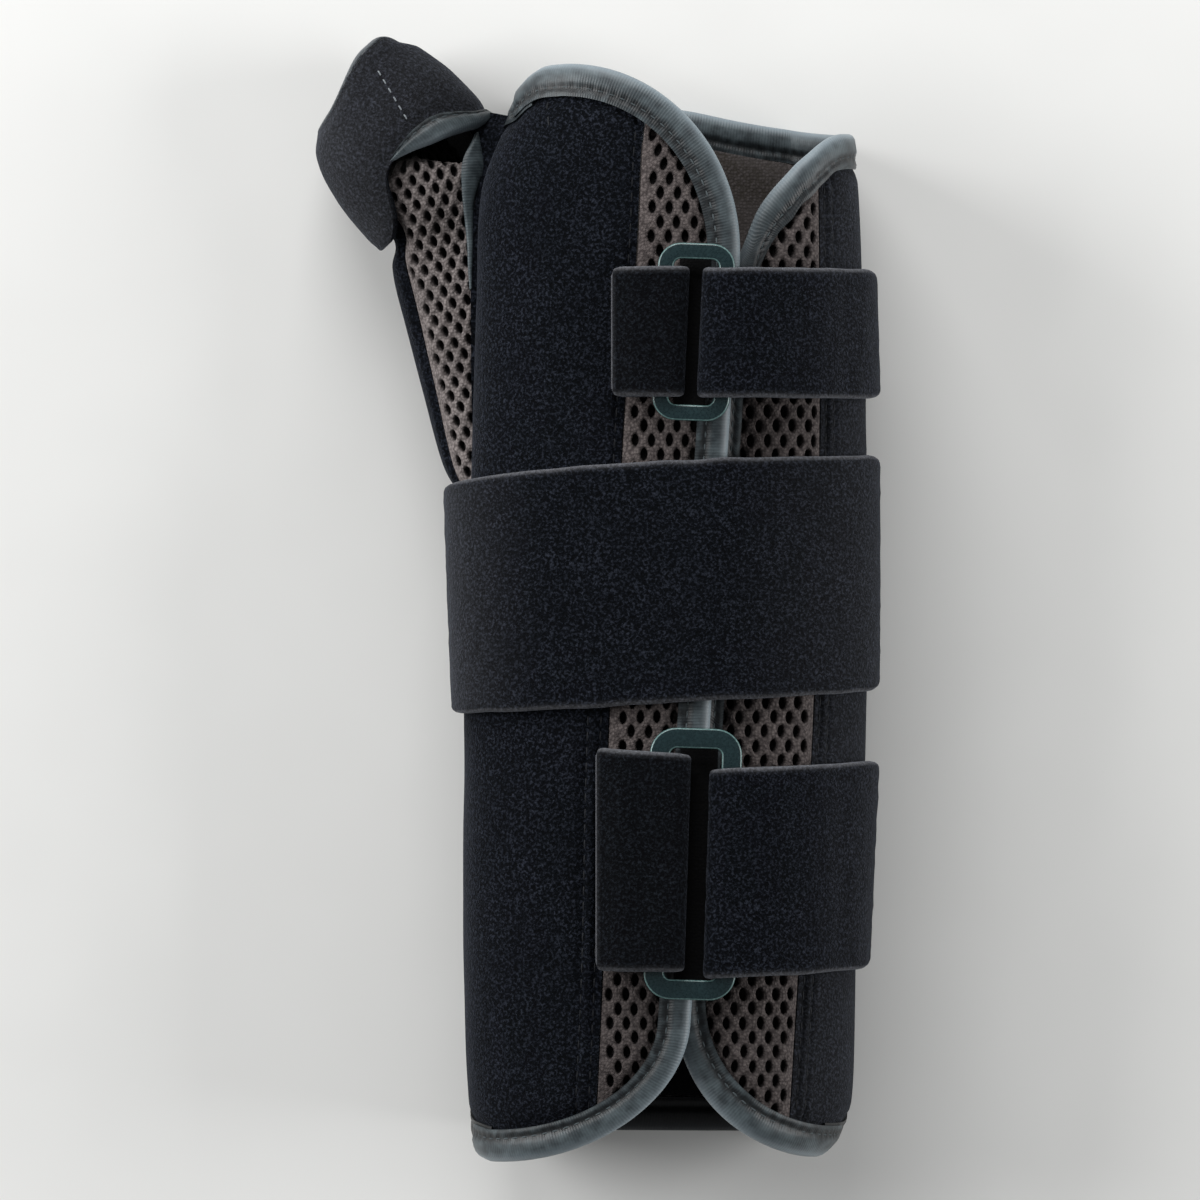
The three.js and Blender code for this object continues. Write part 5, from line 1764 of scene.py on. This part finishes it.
        # Painted sheen: the band is drawn paler, more so on its outer side.
        painted_sheen = (0.1 + 0.08 * smooth(angle, 90, 170) * (1 - smooth(angle, 200, 240))) * np.ones_like(outer)
        high = self.gap + self.band_wall + self.flare(station, angle)
        rings = np.concatenate([
            self.at(station, angle, high + outer), self.at(station, angle, high + inner)[:, ::-1]], 1)
        pattern = np.concatenate([flat, flat[:, ::-1]], 1)
        return sweep(rings, pattern, {"edge": np.concatenate([painted_sheen, 0 * painted_sheen], 1)}, True)

    def build(self) -> None:
        """Makes the sleeve's pieces."""
        # Painted shade: the mesh and the side panel have near-black inner faces.
        make_padded("thumb_mesh", self.mesh_shape(), [THUMB_MESH, SHADE_KNIT], Slot.MESH)
        make_padded("thumb_side_panel", self.side_shape(), [LOOP, SHADE_KNIT], Slot.LOOP)
        make_padded("thumb_seam_tape", self.web_shape(), [TAPE, TAPE], Slot.TAPE)
        make_padded("thumb_band", self.band_shape(), [LOOP], Slot.LOOP)
        outer = self.gap + self.band_wall
        tape = Stitching("thumb_tape_stitching", GREY_THREAD, Slot.TAPE)

        def base(share: Array, inset: Array, h: Array) -> Array:
            """Puts the base tape's section round the band, drawn out to a point at the outer side."""
            angle, middle = share * 360, -self.base_fold.wall / 2
            shown = self.base_share(angle)
            station = self.base_rim(angle) + inset / self.base_fold.width * self.base_tape * shown
            thin = mix(0.3, 1, smooth(shown, 0.02, 0.35))
            station = station + 0.05 * (1 - smooth(shown, 0.02, 0.2))
            return self.at(station, angle, outer + self.flare(station, angle) + middle + (h - middle) * thin)

        def tip(share: Array, inset: Array, h: Array) -> Array:
            """Puts the tip tape's section round the band."""
            angle = share * 360
            station = self.band_tip(angle) - inset / self.tip_fold.width * self.tip_tape
            return self.at(station, angle, outer + self.flare(station, angle) + h - self.tip_sink)

        make_tape("thumb_band_base_binding", self.base_fold, base, True, tape)
        make_tape("thumb_band_tip_binding", self.tip_fold, tip, True, tape, DARK_TAPE)
        tape.make()
        sewn = Stitching("thumb_band_stitching", PALE_THREAD, Slot.TAPE)
        x0, y0, x1, y1 = self.dash
        way = np.linspace(0, 1, 20)
        station, angle = self.find(pairs(mix(x0, x1, way), mix(y0, y1, way)), outer)
        low = self.at(station, angle, outer + 0.2)
        sewn.run(low, self.at(station, angle, outer + 1) - low, pitch=2.0, length=1.2, thick=0.17)
        sewn.make()


CLEAR = 0.35
BUMP = 1.55
BUMP_SHIFT = 1.5
STRAP = 2.2
LEG = STRAP / 2
RING_WALL = 1.4
RING_CLEAR = 0.6
LAP = 0.3
RETURN = LEG + STRAP + RING_WALL + 2 * RING_CLEAR


def over(s: Array, y: Array) -> Array:
    """Height that clears both flaps and their tape, for what lies on top of them."""
    return CLEAR + BUMP * bell(s - FORM.closure_s(y) + BUMP_SHIFT, LEFT_FLAP.lift_reach)


def drawn_path(corners: Sequence[Span], softness: float = 0.8, step: float = 1.0) -> Array:
    """A soft path through corners, with points a step apart; its ends stay where they are."""
    points = np.array(corners, float)
    along = measured(points)
    close = 0.2
    fine = np.linspace(0, along[-1], int(along[-1] / close) + 1)
    path = between(fine, along, points)
    reach = int(3 * softness / close)
    weights = bell(np.arange(-reach, reach + 1) * close, softness)
    ends = [2 * path[:1] - path[reach:0:-1], path, 2 * path[-1:] - path[-2:-reach - 2:-1]]
    padded = np.concatenate(ends)
    soft = np.stack([np.convolve(padded[:, k], weights / weights.sum(), "valid") for k in range(2)], -1)
    count = max(int(along[-1] / step), 4)
    pick = np.linspace(0, len(soft) - 1, count + 1)
    return between(pick, np.arange(len(soft)), soft)


def nothing(value: Array, _: Optional[Array] = None) -> Array:
    """Nothing added."""
    return 0 * np.asarray(value, float)


@dataclass(frozen=True)
class StrapCloth:
    """Laminated loop strap: soft, with cut edges that show paler, and rounded corners at its ends."""

    thick: float = STRAP
    soft: float = 0.85
    corner: float = 2.6
    edges: tuple[float, ...] = (0.0, 0.12, 0.4, 0.85, 1.5, 2.4)
    step: float = 2.2
    pale: float = 0.75
    pale_reach: float = 0.55
    waver: float = 0.08
    waver_mm: float = 5.0
    lump: float = 0.07
    lump_mm: float = 2.4
    seed: int = 21

    def sew(self, path: Array, low: Of, high: Of, lean: Of = nothing, shift: OfTwo = nothing,
            draw_in: Of = nothing, painted_sheen: Of = nothing) -> tuple[Shape, float]:
        """Lays the strap along a path over the flaps.

        Args:
            path: (s, height above the flaps) along the strap's middle.
            low: lower edge's y for s.
            high: upper edge's y for s.
            lean: extra height at the upper edge for s.
            shift: extra s for s and y, which keeps a fold straight and in line with its ring.
            draw_in: how far both edges are drawn in for s.
            painted_sheen: painted sheen, how much paler the pile is drawn for s.

        Returns:
            The shape and the strap's length in metres.
        """
        tangent = np.gradient(path, axis=0)
        pace = np.linalg.norm(tangent, axis=1, keepdims=True)
        tangent = tangent / pace
        run = measured(path)
        end = np.minimum(run, run[-1] - run)
        inset = self.corner - np.sqrt(np.maximum(self.corner**2 - np.maximum(self.corner - end, 0) ** 2, 0))
        width = float(np.mean(high(path[:, 0]) - low(path[:, 0])))
        across = spaced(width, self.step, self.edges) / width
        side = np.minimum(across, 1 - across)[None] * width
        edge = np.minimum(side, 0.05 + end[:, None])
        bulk = np.sqrt(1 - (1 - np.minimum(edge / self.soft, 1)) ** 2)
        line = pairs(run, 0)
        waves = [self.waver * ripple(line, self.waver_mm, self.seed + k) for k in (0, 1)]
        bottom = low(path[:, 0]) + inset + draw_in(path[:, 0]) + waves[0]
        top = high(path[:, 0]) - inset - draw_in(path[:, 0]) + waves[1]
        y = mix(bottom[:, None], top[:, None], across[None])
        flat = pairs(y, run[:, None])
        lumps = self.lump * ripple(flat, self.lump_mm, self.seed + 2) * (edge > 1)
        faces = []
        for way in (1, -1):
            offset = way * self.thick / 2 * bulk + np.where(way > 0, lumps, 0)
            s = path[:, [0]] - tangent[:, [1]] * offset + shift(path[:, [0]], y)
            h = path[:, [1]] + tangent[:, [0]] * offset
            faces.append(FORM.wrap(s, y, over(s, y) + h + lean(s) * across[None]))
        rings = np.concatenate([faces[0], faces[1][:, ::-1]], 1)
        pattern = np.concatenate([flat, flat[:, ::-1]], 1)
        # The edge mark: paler cut edges, and the painted sheen along the strap.
        mark = np.maximum(self.pale * bell(edge, self.pale_reach), painted_sheen(path[:, [0]]))
        shape = sweep(rings, pattern, {"edge": np.concatenate([mark, mark[:, ::-1]], 1)}, False)
        return shape, float(run[-1]) * MM


def arc(s: float, h: float, radius: float, start_deg: float, end_deg: float) -> list[Span]:
    """Points of a fold round a ring bar, as (s, height)."""
    turn = np.radians(np.linspace(start_deg, end_deg, 13))
    return list(zip(s + radius * np.cos(turn), h + radius * np.sin(turn)))


def together(first: Shape, second: Shape, inner: bool = False) -> Shape:
    """Two bodies as one shape; the second one's faces are marked as inner ones or not."""
    count = len(first.points)
    mark = np.zeros(len(first.faces)) if first.inner is None else first.inner
    faces = [*first.faces, *([int(i) + count for i in face] for face in second.faces)]
    marks = {k: np.concatenate([v.ravel(), np.zeros(len(second.points))]) for k, v in first.marks.items()}
    pattern = np.concatenate([first.pattern.reshape(-1, 2), second.pattern.reshape(-1, 2)])
    inner_faces = np.concatenate([mark, np.full(len(second.faces), float(inner))])
    return Shape(np.concatenate([first.points, second.points]), faces, pattern, marks, inner_faces)


@dataclass
class RingFastening:
    """A sewn tab, the plastic ring in it, and the strap that is folded back through the ring."""

    name: str
    ring_x: float
    ring_y: float
    ring_size: Span
    bar: float
    corner: float
    lean_deg: float
    tab: tuple[float, float, float, float]
    strap: tuple[float, float, float, float]
    past_waist: float
    seed: int
    tab_slope: float = 0.0
    strap_slope: float = 0.0

    def build(self) -> None:
        """Makes the three pieces."""
        from_x, fold_x, low, high = self.tab
        middle = (low + high) / 2
        start, fold = self.front(from_x, middle), self.front(fold_x, middle) - STRAP / 2
        reach = (RETURN - LEG) / 2
        path = drawn_path([
            (start, LEG), *arc(fold - reach, LEG + reach, reach, -90, 90),
            (start + reach * 2, RETURN), (start, LEG + STRAP + LAP)], step=0.8)
        cloth = StrapCloth(corner=1.6, seed=self.seed)
        shift = self.straight(fold_x, middle, lambda s: smooth(s, start, fold))
        edges = self.level(low), self.level(high, self.tab_slope, fold)
        shape, length = cloth.sew(path, *edges, shift=shift)
        name = f"{self.name}_tab"
        # Painted shade: the tab carries a near-black sheet under the gap between the folds.
        shape = together(shape, self.shade_sheet(), True)
        piece = make_piece(name, shape, [TAB_LOOP, SHADE_KNIT], Slot.LOOP, [name])
        self.ring()
        sewn_x, fold_x, low, high = self.strap
        middle = (low + high) / 2
        sewn, fold = self.front(sewn_x, middle), self.front(fold_x, middle) + STRAP / 2
        waist = float(FORM.waist_right(middle))
        path = drawn_path([
            (sewn, LEG), *arc(fold + reach, LEG + reach, reach, 270, 90),
            (fold + reach + STRAP * 3, RETURN), (sewn - STRAP, LEG + STRAP + LAP),
            (sewn + STRAP * 2, LEG + LAP), (waist + self.past_waist, LEG + LAP)])
        cloth = StrapCloth(seed=self.seed + 5)
        draw_in = lambda s: 1.5 * smooth(s, waist - 9, waist + 6)
        shift = self.straight(fold_x, middle, lambda s: 1 - smooth(s, fold, sewn))
        edges = (self.level(y, self.strap_slope, fold) for y in (low, high))
        # Painted sheen: the strap is drawn paler towards its end at the right side.
        painted_sheen = lambda s: 0.06 * smooth(s, fold + 8, waist)
        shape, length = cloth.sew(path, *edges, shift=shift, draw_in=draw_in, painted_sheen=painted_sheen)
        name = f"{self.name}_strap"
        piece = make_piece(name, shape, [LOOP], Slot.LOOP, [name])

    def shade_sheet(self) -> Shape:
        """The tab's thin sheet, which lies under the gap between the two folds, drawn near black as painted
        shade.
        """
        first, last = self.front(self.tab[1], self.ring_y) - 1.9, self.front(self.strap[1], self.ring_y) + 1.9
        half = self.ring_size[1] / 2 - self.bar / 2
        y = np.linspace(self.ring_y - half, self.ring_y + half, 30)[:, None]
        lean = self.straight(self.tab[1], self.ring_y, np.ones_like)
        s = np.linspace(first, last, 8)[None] + lean(y * 0, y)
        faces = [FORM.wrap(s, y, over(s, y) + h) for h in (0.3, 0.0)]
        return block(*faces, pairs(s, y), {})

    @staticmethod
    def front(x: float, y: float) -> float:
        """Pattern length at a place seen from the front."""
        return float(FORM.front_s(np.array(x), np.array(y)))

    @staticmethod
    def level(y: float, slope: float = 0.0, at: float = 0.0) -> Of:
        """An edge that is level or slopes a little; its height is given at one pattern length."""
        return lambda s: y + slope * (np.asarray(s, float) - at)

    def straight(self, x: float, middle: float, weight: Of) -> OfTwo:
        """Keeps a fold in line with the ring along its whole width; the weight is that of the ring's lean."""
        slope = -math.tan(math.radians(self.lean_deg))

        def shift(s: Array, y: Array) -> Array:
            """Extra pattern length."""
            at = x + slope * (y - self.ring_y) * weight(s)
            return FORM.front_s(at, y) - self.front(x, middle)

        return shift

    def ring(self) -> None:
        """Models the ring: a rounded plate with its middle cut out, given thickness and soft edges."""
        wide, long = self.ring_size
        bpy.ops.object.select_all(action="DESELECT")
        bpy.ops.mesh.primitive_plane_add(size=1)
        piece = bpy.context.active_object
        piece.name = piece.data.name = f"{self.name}_ring_plate"
        bpy.ops.object.mode_set(mode="EDIT")
        bpy.ops.mesh.select_all(action="SELECT")
        bpy.ops.transform.resize(value=(wide * MM, long * MM, 1))
        bpy.ops.mesh.bevel(offset=self.corner * MM, segments=9, affect="VERTICES")
        bpy.ops.mesh.select_all(action="SELECT")
        bpy.ops.mesh.inset(thickness=self.bar * MM, use_even_offset=True)
        bpy.ops.mesh.delete(type="FACE")
        bpy.ops.object.mode_set(mode="OBJECT")
        wall = piece.modifiers.new("wall", "SOLIDIFY")
        wall.thickness, wall.offset = RING_WALL * MM, 0
        soft = piece.modifiers.new("soft_edges", "BEVEL")
        soft.width, soft.segments, soft.angle_limit = 0.45 * MM, 4, math.radians(40)
        for modifier in ("wall", "soft_edges"):
            bpy.ops.object.modifier_apply(modifier=modifier)
        # Painted highlight: faces that slant upwards take the paler plastic.
        for face in piece.data.polygons:
            face.material_index = int(0.2 < face.normal.z < 0.9)
        piece.matrix_world = self.seat()
        bpy.ops.object.transform_apply(location=True, rotation=True, scale=True)
        for finish in (PLASTIC, BEVEL_HIGHLIGHT_PLASTIC):
            piece.data.materials.append(finish.material())
        settle(piece, 35)
        dress(piece, Slot.RING, [f"{self.name}_ring"])

    def seat(self) -> Matrix:
        """Where the ring lies: on the under legs of tab and strap, turned a little in its plane."""
        lie = LEG * 2 + RING_CLEAR + RING_WALL / 2

        def point(x: float, y: float) -> Vector:
            """Point above the flaps at a place seen from the front."""
            s, at = np.array(self.front(x, y)), np.array(y)
            return Vector(FORM.wrap(s, at, over(s, at) + lie).tolist())

        offset = (self.ring_size[0] - self.bar) / 2
        left, right = point(self.ring_x - offset, self.ring_y), point(self.ring_x + offset, self.ring_y)
        half = self.ring_size[1] / 2
        along = (point(self.ring_x, self.ring_y + half) - point(self.ring_x, self.ring_y - half)).normalized()
        normal = (right - left).cross(along).normalized()
        across = along.cross(normal)
        basis = Matrix((across, along, normal)).transposed().to_4x4()
        turn = Matrix.Rotation(math.radians(self.lean_deg), 4, "Z")
        return Matrix.Translation((left + right) / 2 * MM) @ basis @ turn


@dataclass
class WristStrap:
    """The wide strap over both flaps, with its ends on the two sides."""

    edges: tuple[tuple[float, float, float], ...] = (
        (-37, -18.8, 24.4), (-19, -17.9, 27.8), (7.6, -16.2, 29.5), (39, -14.3, 30.4))
    left_end: float = 11.0
    right_end: float = 17.0
    left_rise: float = 2.4

    def build(self) -> None:
        """Makes the strap."""
        at = [RingFastening.front(x, (low + high) / 2) for x, low, high in self.edges]
        low = Curve(tuple((s, row[1]) for s, row in zip(at, self.edges)))
        high = Curve(tuple((s, row[2]) for s, row in zip(at, self.edges)))
        middle = (self.edges[1][1] + self.edges[1][2]) / 2
        left, right = float(FORM.waist_left(middle)), float(FORM.waist_right(middle))
        path = drawn_path([(left - self.left_end, LEG), (right + self.right_end, LEG)], step=1.2)
        lean = lambda s: self.left_rise * (1 - smooth(s, at[0], at[1]))
        draw_in = lambda s: 1.3 * smooth(s, right - 9, right + 6) + 0.9 * (1 - smooth(s, left - 5, left + 7))
        # Painted sheen: the strap is drawn paler at its left end and towards its right end.
        painted_sheen = lambda s: 0.16 * (1 - smooth(s, at[0] - 4, at[1])) + 0.08 * smooth(s, at[2], at[3])
        shape, length = StrapCloth(seed=31).sew(path, low, high, lean, draw_in=draw_in, painted_sheen=painted_sheen)
        piece = make_piece("middle_strap", shape, [LOOP], Slot.LOOP, ["middle_strap"])
        width = float(np.mean([row[2] - row[1] for row in self.edges])) * MM


@dataclass
class Studio:
    """Pale floor, soft lights and the camera, straight above the closure."""

    centre: Span = (-11.4, 2.85)
    view: float = 228.0
    level: float = 30.0
    lens: float = 500.0
    sensor: float = 36.0

    def build(self) -> None:
        """Makes the floor, the lights and the camera."""
        bpy.ops.object.select_all(action="DESELECT")
        bpy.ops.mesh.primitive_grid_add(x_subdivisions=8, y_subdivisions=8, size=6)
        floor = bpy.context.active_object
        floor.name = floor.data.name = "studio_floor"
        floor.data.materials.append(PaleFloor().material())
        world = bpy.data.worlds.new("studio_air")
        world.use_nodes = True
        sky = world.node_tree.nodes["Background"]
        sky.inputs["Color"].default_value = linear("#f4f6f8")
        sky.inputs["Strength"].default_value = 0.18
        bpy.context.scene.world = world
        self.softbox("left_softbox", (-1.0, 0.3, 0.5), 0.7, 13.5)
        self.softbox("right_softbox", (1.05, 0.0, 0.45), 0.7, 10.0)
        self.softbox("head_softbox", (-0.2, 1.05, 0.6), 0.7, 11.0)
        distance = self.view * self.lens / self.sensor + self.level
        bpy.ops.object.camera_add(location=(self.centre[0] * MM, self.centre[1] * MM, distance * MM),
                                  rotation=(0, 0, 0))
        camera = bpy.context.active_object
        camera.name = "photo_camera"
        camera.data.lens, camera.data.sensor_width = self.lens, self.sensor
        camera.data.clip_end = 20
        bpy.context.scene.camera = camera
        bpy.context.scene.view_settings.view_transform = "Standard"

    @staticmethod
    def softbox(name: str, place: tuple[float, float, float], size: float, power: float) -> None:
        """Adds a square softbox that faces the brace."""
        bpy.ops.object.light_add(type="AREA", location=place)
        light = bpy.context.active_object
        light.name = name
        light.data.size, light.data.energy = size, power
        light.rotation_euler = (Vector((0, 0, 0.03)) - Vector(place)).to_track_quat("-Z", "Y").to_euler()


def main() -> None:
    """Builds the brace piece by piece, then the studio."""
    logging.basicConfig(level=logging.INFO, format="%(name)s %(message)s")
    LeftFlap().build()
    RightFlap().build()
    Back().build()
    ThumbSleeve().build()
    RingFastening(
        "top", ring_x=6, ring_y=53.4, ring_size=(14.6, 33.6), bar=3, corner=4.4, lean_deg=-2.4,
        tab=(-8.6, 5, 41.2, 65.8), strap=(29.5, 7.0, 41, 65.6), past_waist=17, seed=41).build()
    RingFastening(
        "bottom", ring_x=5.7, ring_y=-46.9, ring_size=(17.4, 51.2), bar=3.8, corner=5, lean_deg=-1.8,
        tab=(-11.4, 5, -67.1, -26.2), strap=(28.5, 8.1, -68.4, -29.0), past_waist=18, seed=61,
        tab_slope=-0.08, strap_slope=0.04).build()
    WristStrap().build()
    Studio().build()


if __name__ == "__main__":
    main()
